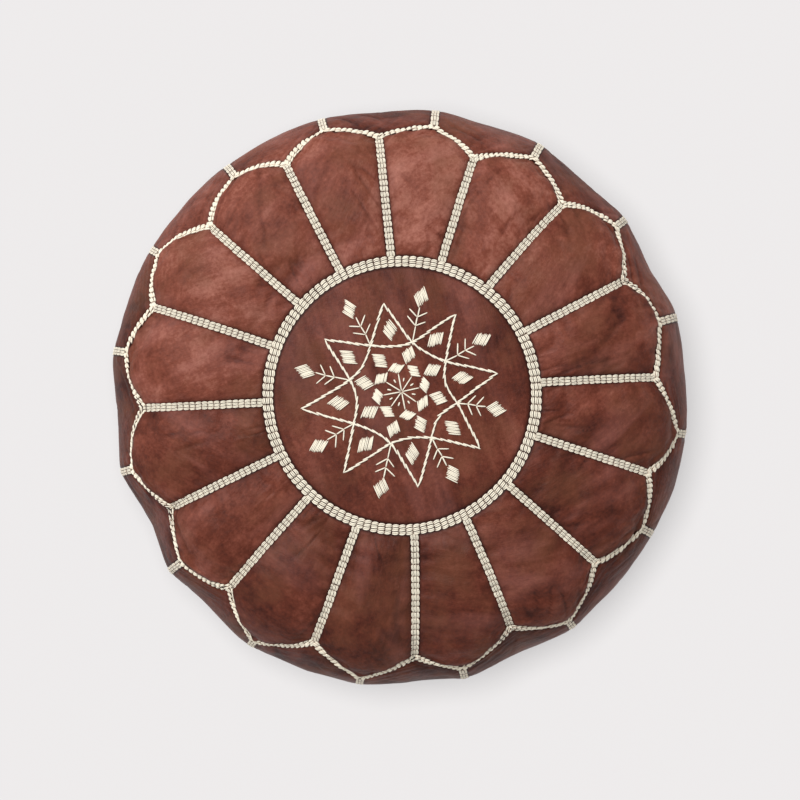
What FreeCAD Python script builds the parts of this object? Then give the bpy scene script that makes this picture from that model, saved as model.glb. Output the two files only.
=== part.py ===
"""Round leather pouf of the Moroccan kind, as a parametric FreeCAD document, in millimetres.

The cover is a stuffed drum of goat leather: a round medallion on top, petals round it, side panels that
fill the gaps between the petals and run down to the floor, and a base of two halves joined by a zip.
Every seam on top and on the side carries three couched cotton cords, and the medallion carries a stitched
rosette. The frame stands on the floor plane z = 0, with +Z up through the middle of the medallion.
"""

import FreeCAD
import Part
import math
import os

import Sketcher
from FreeCAD import Placement, Rotation, Vector

# name: value in millimetres or degrees, or a plain count
DIMENSIONS = {
    # the drum, as four tangent arcs from the crown to the floor
    "drum_radius": 263.3,
    "drum_height": 318.3,
    "crown_radius": 1000.0,
    "shoulder_radius": 80.0,
    "belly_radius": 600.0,
    "belly_height": 195.0,
    "heel_radius": 75.0,
    "leather_thick": 1.5,
    "filling_clearance": 0.3,
    "seam_gap": 0.3,
    "seam_gap_angle": 0.06,
    # the pattern of panels
    "petal_count": 16,
    "pattern_turn": 3.9,
    "ring_radius": 120.5,
    "valley_radius": 233.4,
    "tip_radius": 253.6,
    "scallop_radius": 110.0,
    # couched cords over the seams
    "cord_height": 1.6,
    "cord_lift": 0.1,
    "ring_cord_pitch": 3.3,
    "ring_cord_wire": 1.5,
    "spoke_cord_pitch": 2.4,
    "spoke_cord_width": 2.1,
    "spoke_cord_start": 126.5,
    "spoke_cord_end": 229.5,
    "scallop_cord_pitch": 1.6,
    "scallop_cord_width": 1.35,
    "side_cord_start": 257.0,
    "side_cord_foot": 14.0,
    # the rosette, measured from the middle of the medallion
    "rosette_turn": 10.6,
    "rosette_points": 8,
    "star_tip": 86.0,
    "star_node": 48.8,
    "thread_width": 1.6,
    "centre_ray": 15.5,
    "dash_start": 10.2,
    "dash_end": 14.4,
    "stem_start": 50.2,
    "stem_end": 76.0,
    "barb_reach": 6.0,
    "barb_spread": 8.0,
    "barb_inner": 60.5,
    "barb_outer": 68.5,
    # the base and the well that the zip sits in
    "base_seam_height": 8.0,
    "base_seam_wire": 0.8,
    "base_split_gap": 0.4,
    "well_half_length": 162.0,
    "well_roof_half_length": 153.0,
    "well_half_width": 22.0,
    "well_roof_half_width": 14.5,
    "well_depth": 7.0,
    "slit_half_width": 7.5,
    "slit_half_length": 141.0,
    # the zip
    "tape_thick": 0.6,
    "tape_inner": 1.7,
    "tape_outer": 13.4,
    "tape_half_length": 144.0,
    "tape_height": 8.6,
    "tooth_count": 92,
    "tooth_pitch": 2.8,
    "tooth_length": 1.5,
    "tooth_inner": 0.6,
    "tooth_outer": 4.2,
    "tooth_thick": 2.6,
    "stop_length": 4.0,
    "stop_inset": 2.2,
    "stitch_offset": 11.0,
    "stitch_pitch": 4.5,
    "stitch_length": 3.2,
    "stitch_width": 0.8,
    "stitch_thick": 0.45,
    # the slider and its pull
    "slider_rest": 121.0,
    "slider_half_length": 7.0,
    "slider_half_width": 5.5,
    "slider_blade": 1.0,
    "slider_play": 0.3,
    "slider_lip": 0.7,
    "post_width": 0.7,
    "bridge_half_length": 3.4,
    "bridge_half_width": 1.5,
    "bridge_wall": 1.0,
    "bridge_drop": 2.0,
    "pull_length": 26.0,
    "pull_thick": 1.2,
    "pull_eye_half_width": 2.2,
    "pull_eye_reach": 5.2,
    "pull_neck_half_width": 3.7,
    "pull_tail_half_width": 4.6,
    "pull_bar_radius": 0.75,
    "pull_hole_radius": 1.8,
    "pull_rest_angle": 10.0,
}
SHEET = "dims"
TOP = Vector(0, 0, 1)
CUT_HEIGHT = 400.0
ORIGIN_POINT = (-1, 1)
X_AXIS = -1
Y_AXIS = -2

doc = FreeCAD.newDocument("pouf")
nodes = []


def make_sheet():
    """The spreadsheet of driving dimensions, one alias to a row."""
    sheet = doc.addObject("Spreadsheet::Sheet", SHEET)
    for row, (name, value) in enumerate(DIMENSIONS.items(), start=1):
        sheet.set(f"A{row}", name)
        sheet.set(f"B{row}", str(value))
        sheet.setAlias(f"B{row}", name)
    doc.recompute()
    return sheet


sheet = make_sheet()


def dim(name):
    """The present value of a driving dimension."""
    return float(getattr(sheet, name))


def bound(expression):
    """The expression with each driving dimension's name pointed at the sheet."""
    words = []
    for word in expression.split():
        words.append(f"{SHEET}.{word}" if word in DIMENSIONS else word)
    return " ".join(words)


def bind(thing, **expressions):
    """Binds properties to expressions. A double underscore in a keyword stands for a dot."""
    for path, expression in expressions.items():
        thing.setExpression(path.replace("__", "."), bound(expression))
    return thing


def keep(thing, label):
    """Marks an object as a sub-part: its label names its file."""
    thing.Label = label
    nodes.append(thing)
    return thing


# ---------------------------------------------------------------- sketches


def add_constraint(sketch, expression, *parts):
    """Adds a dimension to a sketch and binds it."""
    index = sketch.addConstraint(Sketcher.Constraint(*parts))
    sketch.setExpression(f"Constraints[{index}]", bound(expression))


def tie(sketch, *parts):
    """Adds a constraint that has no size."""
    sketch.addConstraint(Sketcher.Constraint(*parts))


def profile_circles():
    """Centre and radius of the four tangent circles of the drum, from the crown to the heel."""
    crown = (0.0, dim("drum_height") - dim("crown_radius"))
    belly = (dim("drum_radius") - dim("belly_radius"), dim("belly_height"))
    to_crown = dim("crown_radius") - dim("shoulder_radius")
    to_belly = dim("belly_radius") - dim("shoulder_radius")
    apart = math.hypot(belly[0] - crown[0], belly[1] - crown[1])
    along = (to_crown**2 - to_belly**2 + apart**2) / (2 * apart)
    aside = math.sqrt(to_crown**2 - along**2)
    ux, uz = (belly[0] - crown[0]) / apart, (belly[1] - crown[1]) / apart
    shoulder = (crown[0] + along * ux + aside * uz, crown[1] + along * uz - aside * ux)
    if shoulder[0] < 0:
        shoulder = (crown[0] + along * ux - aside * uz, crown[1] + along * uz + aside * ux)
    reach = dim("belly_radius") - dim("heel_radius")
    drop = dim("belly_height") - dim("heel_radius")
    heel = (belly[0] + math.sqrt(reach**2 - drop**2), dim("heel_radius"))
    return [
        (crown, "crown_radius"),
        (shoulder, "shoulder_radius"),
        (belly, "belly_radius"),
        (heel, "heel_radius"),
    ]


def tangent_angles(circles):
    """Angles at which each arc of the drum starts and ends, from the crown down."""
    turns = [math.pi / 2]
    for (a, _), (b, _), outer_is_first in zip(circles, circles[1:], (True, False, True)):
        big, small = (a, b) if outer_is_first else (b, a)
        turns.append(math.atan2(small[1] - big[1], small[0] - big[0]))
    turns.append(-math.pi / 2)
    return turns


def add_profile_arcs(sketch, offset, expression):
    """The four arcs of the drum at an offset from its outer face. Returns their indices."""
    circles = profile_circles()
    turns = tangent_angles(circles)
    arcs = []
    for number, ((centre, radius), start, end) in enumerate(zip(circles, turns, turns[1:])):
        circle = Part.Circle(Vector(centre[0], centre[1], 0), TOP, dim(radius) + offset)
        arcs.append(sketch.addGeometry(Part.ArcOfCircle(circle, end, start), False))
        if number:
            tie(sketch, "Tangent", arcs[-2], 1, arcs[-1], 2)
    for arc, (_, radius) in zip(arcs, circles):
        add_constraint(sketch, f"{radius} + {expression}", "Radius", arc, dim(radius) + offset)
    return arcs


def place_profile(sketch, arcs):
    """Fixes the drum's arcs: crown on the axis, belly at its height, heel on the floor."""
    circles = profile_circles()
    crown, _, belly, heel = arcs
    tie(sketch, "PointOnObject", crown, 3, Y_AXIS)
    tie(sketch, "PointOnObject", crown, 2, Y_AXIS)
    tie(sketch, "Vertical", heel, 1, heel, 3)
    (belly_x, belly_z), _ = circles[2]
    add_constraint(
        sketch, "crown_radius - drum_height", "DistanceY", crown, 3, *ORIGIN_POINT, -circles[0][0][1]
    )
    add_constraint(
        sketch, "belly_radius - drum_radius", "DistanceX", belly, 3, *ORIGIN_POINT, -belly_x
    )
    add_constraint(sketch, "belly_height", "DistanceY", *ORIGIN_POINT, belly, 3, belly_z)
    add_constraint(sketch, "heel_radius", "DistanceY", *ORIGIN_POINT, heel, 3, dim("heel_radius"))


def add_line(sketch, start, end):
    """A line between two points of the sketch plane."""
    return sketch.addGeometry(Part.LineSegment(Vector(*start, 0), Vector(*end, 0)), False)


def arc_ends(sketch, arc):
    """Start and end point of an arc, as pairs."""
    geometry = sketch.Geometry[arc]
    return (geometry.StartPoint.x, geometry.StartPoint.y), (geometry.EndPoint.x, geometry.EndPoint.y)


def body_with_sketch(name):
    """A PartDesign body with a sketch on its own XZ plane."""
    body = doc.addObject("PartDesign::Body", name)
    sketch = body.newObject("Sketcher::SketchObject", f"{name}_profile")
    plane = next(f for f in body.Origin.OriginFeatures if f.Role == "XZ_Plane")
    sketch.AttachmentSupport = (plane, [""])
    sketch.MapMode = "FlatFace"
    return body, sketch


def revolve(body, sketch):
    """Turns the sketch a full turn about the body's Z axis."""
    turned = body.newObject("PartDesign::Revolution", f"{body.Name}_turned")
    turned.Profile = sketch
    axis = next(f for f in body.Origin.OriginFeatures if f.Role == "Z_Axis")
    turned.ReferenceAxis = (axis, [""])
    turned.Angle = 360.0
    body.Tip = turned
    return body


def drum_shell(name, low, high):
    """A closed shell between two offsets from the drum's outer face. Each offset is a value and its words."""
    body, sketch = body_with_sketch(name)
    outer = add_profile_arcs(sketch, *high)
    place_profile(sketch, outer)
    inner = add_profile_arcs(sketch, *low)
    tie(sketch, "Coincident", inner[0], 3, outer[0], 3)
    tie(sketch, "Coincident", inner[2], 3, outer[2], 3)
    tie(sketch, "Vertical", inner[3], 3, outer[3], 3)
    top = add_line(sketch, arc_ends(sketch, inner[0])[1], arc_ends(sketch, outer[0])[1])
    foot = add_line(sketch, arc_ends(sketch, inner[3])[0], arc_ends(sketch, outer[3])[0])
    for line, arc_out, arc_in, end in ((top, outer[0], inner[0], 2), (foot, outer[3], inner[3], 1)):
        tie(sketch, "Coincident", line, 1, arc_in, end)
        tie(sketch, "Coincident", line, 2, arc_out, end)
        tie(sketch, "Vertical", line)
    return revolve(body, sketch)


def drum_solid(name, offset):
    """The whole drum at an offset inside its outer face, closed along its axis."""
    body, sketch = body_with_sketch(name)
    arcs = add_profile_arcs(sketch, *offset)
    place_profile(sketch, arcs)
    crown, foot = arc_ends(sketch, arcs[0])[1], arc_ends(sketch, arcs[3])[0]
    floor = add_line(sketch, foot, (0, foot[1]))
    axis = add_line(sketch, (0, foot[1]), crown)
    tie(sketch, "Coincident", floor, 1, arcs[3], 1)
    tie(sketch, "Coincident", floor, 2, axis, 1)
    tie(sketch, "Coincident", axis, 2, arcs[0], 2)
    tie(sketch, "Horizontal", floor)
    tie(sketch, "Vertical", axis)
    return revolve(body, sketch)


# ---------------------------------------------------------------- plan outlines


def plan_sketch(name):
    """A sketch seen from above, on the floor plane."""
    return doc.addObject("Sketcher::SketchObject", name)


def polar(radius, degrees):
    """A plan point from its radius and its angle."""
    return radius * math.cos(math.radians(degrees)), radius * math.sin(math.radians(degrees))


def add_radial_line(sketch, start_radius, end_radius, degrees, expression):
    """A line from the middle or in line with it, at a bound angle to the X axis."""
    line = add_line(sketch, polar(start_radius, degrees), polar(end_radius, degrees))
    if start_radius:
        tie(sketch, "PointOnObject", *ORIGIN_POINT, line)
    else:
        tie(sketch, "Coincident", *ORIGIN_POINT, line, 1)
    add_constraint(sketch, expression, "Angle", line, math.radians(degrees))
    return line


def add_radius(sketch, shape, point, value, expression):
    """Holds a point at a bound distance from the middle."""
    add_constraint(sketch, expression, "Distance", *ORIGIN_POINT, shape, point, value)


def arc_through(start, end, radius):
    """Centre and angles of the arc of a radius from start to end, bulging away from the middle."""
    middle = ((start[0] + end[0]) / 2, (start[1] + end[1]) / 2)
    half = math.hypot(end[0] - start[0], end[1] - start[1]) / 2
    back = math.sqrt(radius**2 - half**2)
    nx, ny = (start[1] - end[1]) / (2 * half), (end[0] - start[0]) / (2 * half)
    if nx * middle[0] + ny * middle[1] > 0:
        nx, ny = -nx, -ny
    centre = (middle[0] + nx * back, middle[1] + ny * back)
    first = math.atan2(start[1] - centre[1], start[0] - centre[0])
    last = math.atan2(end[1] - centre[1], end[0] - centre[0])
    return centre, first, last


def add_scallop(sketch, valley, tip, expression="scallop_radius", shift=0.0):
    """The curved seam edge between a valley and a tip, as an arc. Returns it and its end numbers there."""
    radius = dim("scallop_radius") + shift
    centre, at_valley, at_tip = arc_through(valley, tip, radius)
    low, high = min(at_valley, at_tip), max(at_valley, at_tip)
    circle = Part.Circle(Vector(centre[0], centre[1], 0), TOP, radius)
    arc = sketch.addGeometry(Part.ArcOfCircle(circle, low, high), False)
    add_constraint(sketch, expression, "Radius", arc, radius)
    valley_end = 1 if at_valley == low else 2
    return arc, valley_end, 3 - valley_end


def extrude(name, sketch, height="400", base="0"):
    """A prism over a plan outline."""
    prism = doc.addObject("Part::Extrusion", name)
    prism.Base = sketch
    prism.DirMode = "Custom"
    prism.Dir = TOP
    prism.Solid = True
    return bind(prism, LengthFwd=height, Placement__Base__z=base)


def boolean(kind, name, first, second):
    """A Part::Common, Part::Cut or Part::Fuse of two objects."""
    made = doc.addObject(f"Part::{kind}", name)
    made.Base = first
    made.Tool = second
    return made


def gather(kind, name, parts):
    """A Part::MultiFuse or Part::Compound of several objects."""
    made = doc.addObject(f"Part::{kind}", name)
    if kind == "Compound":
        made.Links = parts
    else:
        made.Shapes = parts
    return made


def turned_copy(name, source, turn):
    """The same piece turned about the Z axis by a bound angle."""
    copy = gather("Compound", name, [source])
    copy.Placement = Placement(Vector(), Rotation(TOP, 0))
    return bind(copy, Placement__Rotation__Angle=turn)


def repeat_round(name, source, count, first_turn):
    """The pieces of one group: the source repeated evenly about the Z axis."""
    step = f"360 / {count}"
    copies = [
        turned_copy(f"{name}_copy_{number + 1:02d}", source, f"{first_turn} + {number} * {step}")
        for number in range(int(dim(count)))
    ]
    return gather("Compound", name, copies)


HALF_PITCH = "( 180 / petal_count - seam_gap_angle )"


def petal_outline():
    """Plan of one petal about the X axis: ring edge, two straight sides and a pointed scallop."""
    sketch = plan_sketch("petal_plan")
    half = 180 / dim("petal_count") - dim("seam_gap_angle")
    inner_radius = dim("ring_radius") + dim("seam_gap") / 2
    valley_radius, tip_radius = dim("valley_radius"), dim("tip_radius")
    sides = []
    scallops = []
    for sign, expression in ((-1, f"-1 * {HALF_PITCH}"), (1, HALF_PITCH)):
        side = add_radial_line(sketch, inner_radius, valley_radius, sign * half, expression)
        add_radius(sketch, side, 2, valley_radius, "valley_radius")
        scallop = add_scallop(sketch, polar(valley_radius, sign * half), (tip_radius, 0))
        tie(sketch, "Coincident", side, 2, scallop[0], scallop[1])
        sides.append(side)
        scallops.append(scallop)
    (lower, _, lower_tip), (upper, _, upper_tip) = scallops
    tie(sketch, "Coincident", lower, lower_tip, upper, upper_tip)
    tie(sketch, "PointOnObject", lower, lower_tip, X_AXIS)
    add_radius(sketch, lower, lower_tip, tip_radius, "tip_radius")
    circle = Part.Circle(Vector(), TOP, inner_radius)
    rim = sketch.addGeometry(
        Part.ArcOfCircle(circle, -math.radians(half), math.radians(half)), False
    )
    add_constraint(sketch, "ring_radius + seam_gap / 2", "Radius", rim, inner_radius)
    tie(sketch, "Coincident", rim, 3, *ORIGIN_POINT)
    tie(sketch, "Coincident", rim, 1, sides[0], 1)
    tie(sketch, "Coincident", rim, 2, sides[1], 1)
    return sketch


def petal_shadow_outline():
    """Plan of the area that petals take from a side panel about the X axis: two tips and the valley."""
    sketch = plan_sketch("petal_shadow_plan")
    half = 180 / dim("petal_count")
    gap = dim("seam_gap")
    valley_radius, tip_radius = dim("valley_radius") + gap, dim("tip_radius") + gap
    arcs = []
    for sign, expression in ((-1, "-180 / petal_count"), (1, "180 / petal_count")):
        side = add_radial_line(sketch, 0, tip_radius, sign * half, expression)
        add_radius(sketch, side, 2, tip_radius, "tip_radius + seam_gap")
        arc, at_valley, at_tip = add_scallop(sketch, (valley_radius, 0), polar(tip_radius, sign * half))
        tie(sketch, "Coincident", side, 2, arc, at_tip)
        arcs.append((arc, at_valley))
    (lower, lower_valley), (upper, upper_valley) = arcs
    tie(sketch, "Coincident", lower, lower_valley, upper, upper_valley)
    tie(sketch, "PointOnObject", lower, lower_valley, X_AXIS)
    add_radius(sketch, lower, lower_valley, valley_radius, "valley_radius + seam_gap")
    return sketch


def wedge_outline(name, radius=300.0):
    """Plan of a full slice of the drum, one petal wide, about the X axis."""
    sketch = plan_sketch(name)
    half = 180 / dim("petal_count") - dim("seam_gap_angle")
    lower = add_radial_line(sketch, 0, radius, -half, f"-1 * {HALF_PITCH}")
    upper = add_radial_line(sketch, 0, radius, half, HALF_PITCH)
    outer = add_line(sketch, polar(radius, -half), polar(radius, half))
    tie(sketch, "Coincident", lower, 2, outer, 1)
    tie(sketch, "Coincident", upper, 2, outer, 2)
    tie(sketch, "Vertical", outer)
    add_constraint(sketch, str(radius), "Distance", lower, radius)
    return sketch


def scallop_band_outline(row):
    """Plan of one cord row over half a scallop, between a valley above the X axis and the tip on it."""
    sketch = plan_sketch(f"scallop_row_{row + 2}_plan")
    half = 180 / dim("petal_count") - dim("seam_gap_angle")
    valley, tip = polar(dim("valley_radius"), half), (dim("tip_radius"), 0)
    centre, at_valley, at_tip = arc_through(valley, tip, dim("scallop_radius"))
    middle = dim("scallop_radius") + row * dim("scallop_cord_pitch")
    width = dim("scallop_cord_width")
    overrun = math.radians(2.0)
    edges = []
    for sign in (-1, 1):
        radius = middle + sign * width / 2
        circle = Part.Circle(Vector(centre[0], centre[1], 0), TOP, radius)
        arc = sketch.addGeometry(
            Part.ArcOfCircle(circle, at_tip - overrun, at_valley + overrun), False
        )
        words = f"scallop_radius + {row} * scallop_cord_pitch + {sign} * scallop_cord_width / 2"
        add_constraint(sketch, words, "Radius", arc, radius)
        edges.append(arc)
    tie(sketch, "Coincident", edges[0], 3, edges[1], 3)
    for end in (1, 2):
        points = [arc_ends(sketch, edge)[end - 1] for edge in edges]
        line = add_line(sketch, *points)
        tie(sketch, "Coincident", line, 1, edges[0], end)
        tie(sketch, "Coincident", line, 2, edges[1], end)
    return sketch


# ---------------------------------------------------------------- leather


def box(name, half_length, half_width, height, base, middle="0"):
    """A box centred on the Z axis, or at a bound distance along X."""
    made = doc.addObject("Part::Box", name)
    bind(made, Length=f"2 * ( {half_length} )", Width=f"2 * ( {half_width} )", Height=height)
    return bind(
        made,
        Placement__Base__x=f"{middle} - ( {half_length} )",
        Placement__Base__y=f"-1 * ( {half_width} )",
        Placement__Base__z=base,
    )


def cylinder(name, radius, height, base):
    """An upright cylinder on the Z axis."""
    made = doc.addObject("Part::Cylinder", name)
    return bind(made, Radius=radius, Height=height, Placement__Base__z=base)


def torus(name, ring, wire, base):
    """A flat ring of round wire about the Z axis."""
    made = doc.addObject("Part::Torus", name)
    return bind(made, Radius1=ring, Radius2=wire, Placement__Base__z=base)


def build_top_leather(skin):
    """The medallion and the petals round it."""
    disc = cylinder("medallion_cutter", "ring_radius - seam_gap / 2", "200", "200")
    keep(boolean("Common", "medallion_cut", skin, disc), "medallion")
    cutter = extrude("petal_cutter", petal_outline(), "200", "200")
    petal = boolean("Common", "petal_cut", skin, cutter)
    for number in range(int(dim("petal_count"))):
        turn = f"pattern_turn + ( {number} + 0.5 ) * 360 / petal_count"
        keep(turned_copy(f"petal_turned_{number + 1:02d}", petal, turn), f"petal_{number + 1:02d}")


def build_side_leather(skin):
    """The side panels, each in line with a valley between two petals."""
    slice_plan = wedge_outline("side_slice_plan")
    side_slice = extrude("side_slice", slice_plan, "400", "base_seam_height + seam_gap")
    column = boolean("Common", "side_column", skin, side_slice)
    shadow = extrude("petal_shadow", petal_shadow_outline(), "200", "belly_height")
    panel = boolean("Cut", "side_cut", column, shadow)
    for number in range(int(dim("petal_count"))):
        turn = f"pattern_turn + {number} * 360 / petal_count"
        copy = turned_copy(f"side_turned_{number + 1:02d}", panel, turn)
        keep(copy, f"side_panel_{number + 1:02d}")


def well_block(name, grow, rise):
    """A block with sloping sides that fills the well, grown outward and raised by bound amounts."""
    block = doc.addObject("Part::Wedge", name)
    block.Placement = Placement(Vector(), Rotation(Vector(1, 0, 0), 90))
    spans = {
        "X": ("well_half_length", "min", "max", "X"),
        "X2": ("well_roof_half_length", "min", "max", "X2"),
        "Z": ("well_half_width", "min", "max", "Z"),
        "Z2": ("well_roof_half_width", "min", "max", "Z2"),
    }
    for words, low, high, axis in spans.values():
        block.setExpression(f"{axis}{low}", bound(f"-1 * {words} - {grow}"))
        block.setExpression(f"{axis}{high}", bound(f"{words} + {grow}"))
    return bind(block, Ymin="0", Ymax=f"well_depth + {rise}")


def build_base(skin):
    """The two halves of the base, with the well for the zip folded into them."""
    heel_foot = "( drum_radius - belly_radius + sqrt( ( belly_radius - heel_radius ) ^ 2"
    heel_foot += " - ( belly_height - heel_radius ) ^ 2 ) )"
    rim = boolean("Common", "base_rim", skin, cylinder("rim_cutter", "300", "base_seam_height", "0"))
    plate = cylinder("base_plate", heel_foot, "leather_thick", "0")
    hollow = well_block("well_hollow", "0", "0")
    folds = well_block("well_folds", "leather_thick", "leather_thick")
    solid = gather("MultiFuse", "base_solid", [rim, plate, folds])
    open_base = boolean("Cut", "base_open", solid, hollow)
    slit = box("slit", "slit_half_length", "slit_half_width", "20", "0")
    split = box("base_split", "300", "base_split_gap / 2", "20", "0")
    halves = boolean("Cut", "base_cut", open_base, gather("MultiFuse", "base_gaps", [slit, split]))
    for label, side in (("base_half_front", "-300"), ("base_half_back", "0")):
        block = doc.addObject("Part::Box", f"{label}_side")
        bind(block, Length="600", Width="300", Height="20", Placement__Base__x="-300")
        bind(block, Placement__Base__y=side)
        keep(boolean("Common", f"{label}_cut", halves, block), label)
    wire = "base_seam_wire"
    angle = "acos( ( heel_radius - base_seam_height ) / heel_radius )"
    reach = f"( heel_radius + cord_lift + {wire} / 2 )"
    seam = torus(
        "base_seam_ring",
        f"{heel_foot} + {reach} * sin( {angle} )",
        f"{wire} / 2",
        f"heel_radius - {reach} * cos( {angle} )",
    )
    keep(seam, "base_seam_thread")


def build_filling():
    """The stuffing, as one body with a groove over the zip."""
    inset = "leather_thick + filling_clearance"
    core = drum_solid("stuffing_core", (-dim("leather_thick") - dim("filling_clearance"), f"-1 * ( {inset} )"))
    groove = well_block("stuffing_groove", inset, "3.2 + filling_clearance + leather_thick")
    keep(boolean("Cut", "stuffing_cut", core, groove), "filling")


# ---------------------------------------------------------------- cords over the seams


def crown_height(radius):
    """Words for the height of the drum's crown at a distance from its middle."""
    return f"( drum_height - crown_radius + sqrt( crown_radius ^ 2 - ( {radius} ) ^ 2 ) )"


def plan_strip(name, start, end, width, offset="0", height="400", base="0"):
    """An upright slab along X between two bound distances, at a bound offset in Y."""
    slab = doc.addObject("Part::Box", name)
    bind(slab, Length=f"{end} - ( {start} )", Width=width, Height=height)
    bind(slab, Placement__Base__x=start, Placement__Base__y=f"{offset} - {width} / 2")
    return bind(slab, Placement__Base__z=base)


def build_ring_cords():
    """Three cords round the medallion."""
    rings = []
    for row in (-1, 0, 1):
        ring = f"ring_radius + {row} * ring_cord_pitch"
        height = f"{crown_height(ring)} + ring_cord_wire / 2 + cord_lift"
        rings.append(torus(f"ring_cord_{row + 2}", ring, "ring_cord_wire / 2", height))
    keep(gather("Compound", "ring_cord_group", rings), "ring_cords")


def strip_rows(name, start, end, base):
    """Three slabs side by side along X."""
    rows = [
        plan_strip(
            f"{name}_slab_{row + 2}", start, end, "spoke_cord_width", f"{row} * spoke_cord_pitch", "400", base
        )
        for row in (-1, 0, 1)
    ]
    return gather("Compound", f"{name}_slabs", rows)


def build_spoke_cords(cord_skin):
    """Three cords over each seam between two petals."""
    slabs = strip_rows("spoke", "spoke_cord_start", "spoke_cord_end", "belly_height")
    spoke = boolean("Common", "spoke_cord", cord_skin, slabs)
    keep(repeat_round("spoke_cord_group", spoke, "petal_count", "pattern_turn"), "spoke_cords")


def build_side_cords(cord_skin):
    """Three cords over each seam between two side panels."""
    slabs = strip_rows("side", "side_cord_start", "300", "belly_height")
    low_slabs = strip_rows("low_side", "150", "300", "side_cord_foot")
    low_part = boolean("Cut", "low_side_part", low_slabs, cylinder("low_side_top", "400", "400", "belly_height"))
    both = gather("MultiFuse", "side_slab_pair", [slabs, low_part])
    seam = boolean("Common", "side_cord", cord_skin, both)
    turn = "pattern_turn + 180 / petal_count"
    keep(repeat_round("side_cord_group", seam, "petal_count", turn), "side_seam_cords")


def build_scallop_cords(cord_skin):
    """Three cords along the pointed outer edge of each petal."""
    bands = [
        extrude(f"scallop_band_{row + 2}", scallop_band_outline(row), "200", "belly_height")
        for row in (-1, 0, 1)
    ]
    wedge = extrude("scallop_half_cutter", half_wedge_outline(), "200", "belly_height")
    half = boolean("Common", "scallop_half_bands", gather("Compound", "scallop_bands", bands), wedge)
    cords = boolean("Common", "scallop_half_cords", cord_skin, half)
    mirror = doc.addObject("Part::Mirroring", "scallop_other_half")
    mirror.Source = cords
    mirror.Normal = Vector(0, 1, 0)
    whole = gather("Compound", "scallop_cords_pair", [cords, mirror])
    turn = "pattern_turn + 180 / petal_count"
    keep(repeat_round("scallop_cord_group", whole, "petal_count", turn), "scallop_cords")


def half_wedge_outline():
    """Plan of half a petal's slice above the X axis."""
    sketch = plan_sketch("half_slice_plan")
    low, high = dim("seam_gap_angle"), 180 / dim("petal_count") - dim("seam_gap_angle")
    lower = add_radial_line(sketch, 0, 300.0, low, "seam_gap_angle")
    upper = add_radial_line(sketch, 0, 300.0, high, HALF_PITCH)
    outer = add_line(sketch, polar(300.0, low), polar(300.0, high))
    tie(sketch, "Coincident", lower, 2, outer, 1)
    tie(sketch, "Coincident", upper, 2, outer, 2)
    add_constraint(sketch, "300", "Distance", lower, 300.0)
    add_constraint(sketch, "300", "Distance", upper, 300.0)
    return sketch


# ---------------------------------------------------------------- rosette


def lozenge_plan(name, radius, half_radial, half_tangential):
    """Plan of a lozenge on the X axis, its own half lengths along and across the axis."""
    sketch = plan_sketch(name)
    corners = [(radius - half_radial, 0), (radius, half_tangential), (radius + half_radial, 0)]
    corners.append((radius, -half_tangential))
    sides = [add_line(sketch, a, b) for a, b in zip(corners, corners[1:] + corners[:1])]
    for one, two in zip(sides, sides[1:] + sides[:1]):
        tie(sketch, "Coincident", one, 2, two, 1)
    tie(sketch, "PointOnObject", sides[0], 1, X_AXIS)
    tie(sketch, "PointOnObject", sides[2], 1, X_AXIS)
    tie(sketch, "Vertical", sides[1], 1, sides[3], 1)
    add_constraint(sketch, str(radius - half_radial), "DistanceX", *ORIGIN_POINT, sides[0], 1, radius - half_radial)
    add_constraint(sketch, str(2 * half_radial), "DistanceX", sides[0], 1, sides[2], 1, 2 * half_radial)
    add_constraint(sketch, str(half_radial), "DistanceX", sides[0], 1, sides[1], 1, half_radial)
    add_constraint(sketch, str(half_tangential), "DistanceY", *ORIGIN_POINT, sides[1], 1, half_tangential)
    add_constraint(sketch, str(2 * half_tangential), "DistanceY", sides[3], 1, sides[1], 1, 2 * half_tangential)
    return sketch


def raised(name, cord_skin, cutter):
    """The part of the cord layer under a plan cutter."""
    return boolean("Common", name, cord_skin, cutter)


# name: (distance from the middle, half length, half width, in line with the star's points or between them)
LOZENGES = {
    "inner": (21.7, 5.0, 7.9, True),
    "second": (33.3, 8.3, 6.1, False),
    "star": (55.9, 9.3, 5.8, True),
    "outer": (86.9, 9.3, 6.2, False),
}
ON_POINT = "rosette_turn"
BETWEEN_POINTS = "rosette_turn + 180 / rosette_points"


def build_lozenges(cord_skin):
    """Four rings of satin-stitched lozenges."""
    rings = []
    for name, (radius, half_radial, half_tangential, on_point) in LOZENGES.items():
        plan = lozenge_plan(f"{name}_lozenge_plan", radius, half_radial, half_tangential)
        cutter = extrude(f"{name}_lozenge_cutter", plan, "200", "200")
        one = raised(f"{name}_lozenge", cord_skin, cutter)
        turn = ON_POINT if on_point else BETWEEN_POINTS
        rings.append(repeat_round(f"{name}_lozenge_ring", one, "rosette_points", turn))
    keep(gather("Compound", "lozenge_group", rings), "rosette_lozenges")


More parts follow.
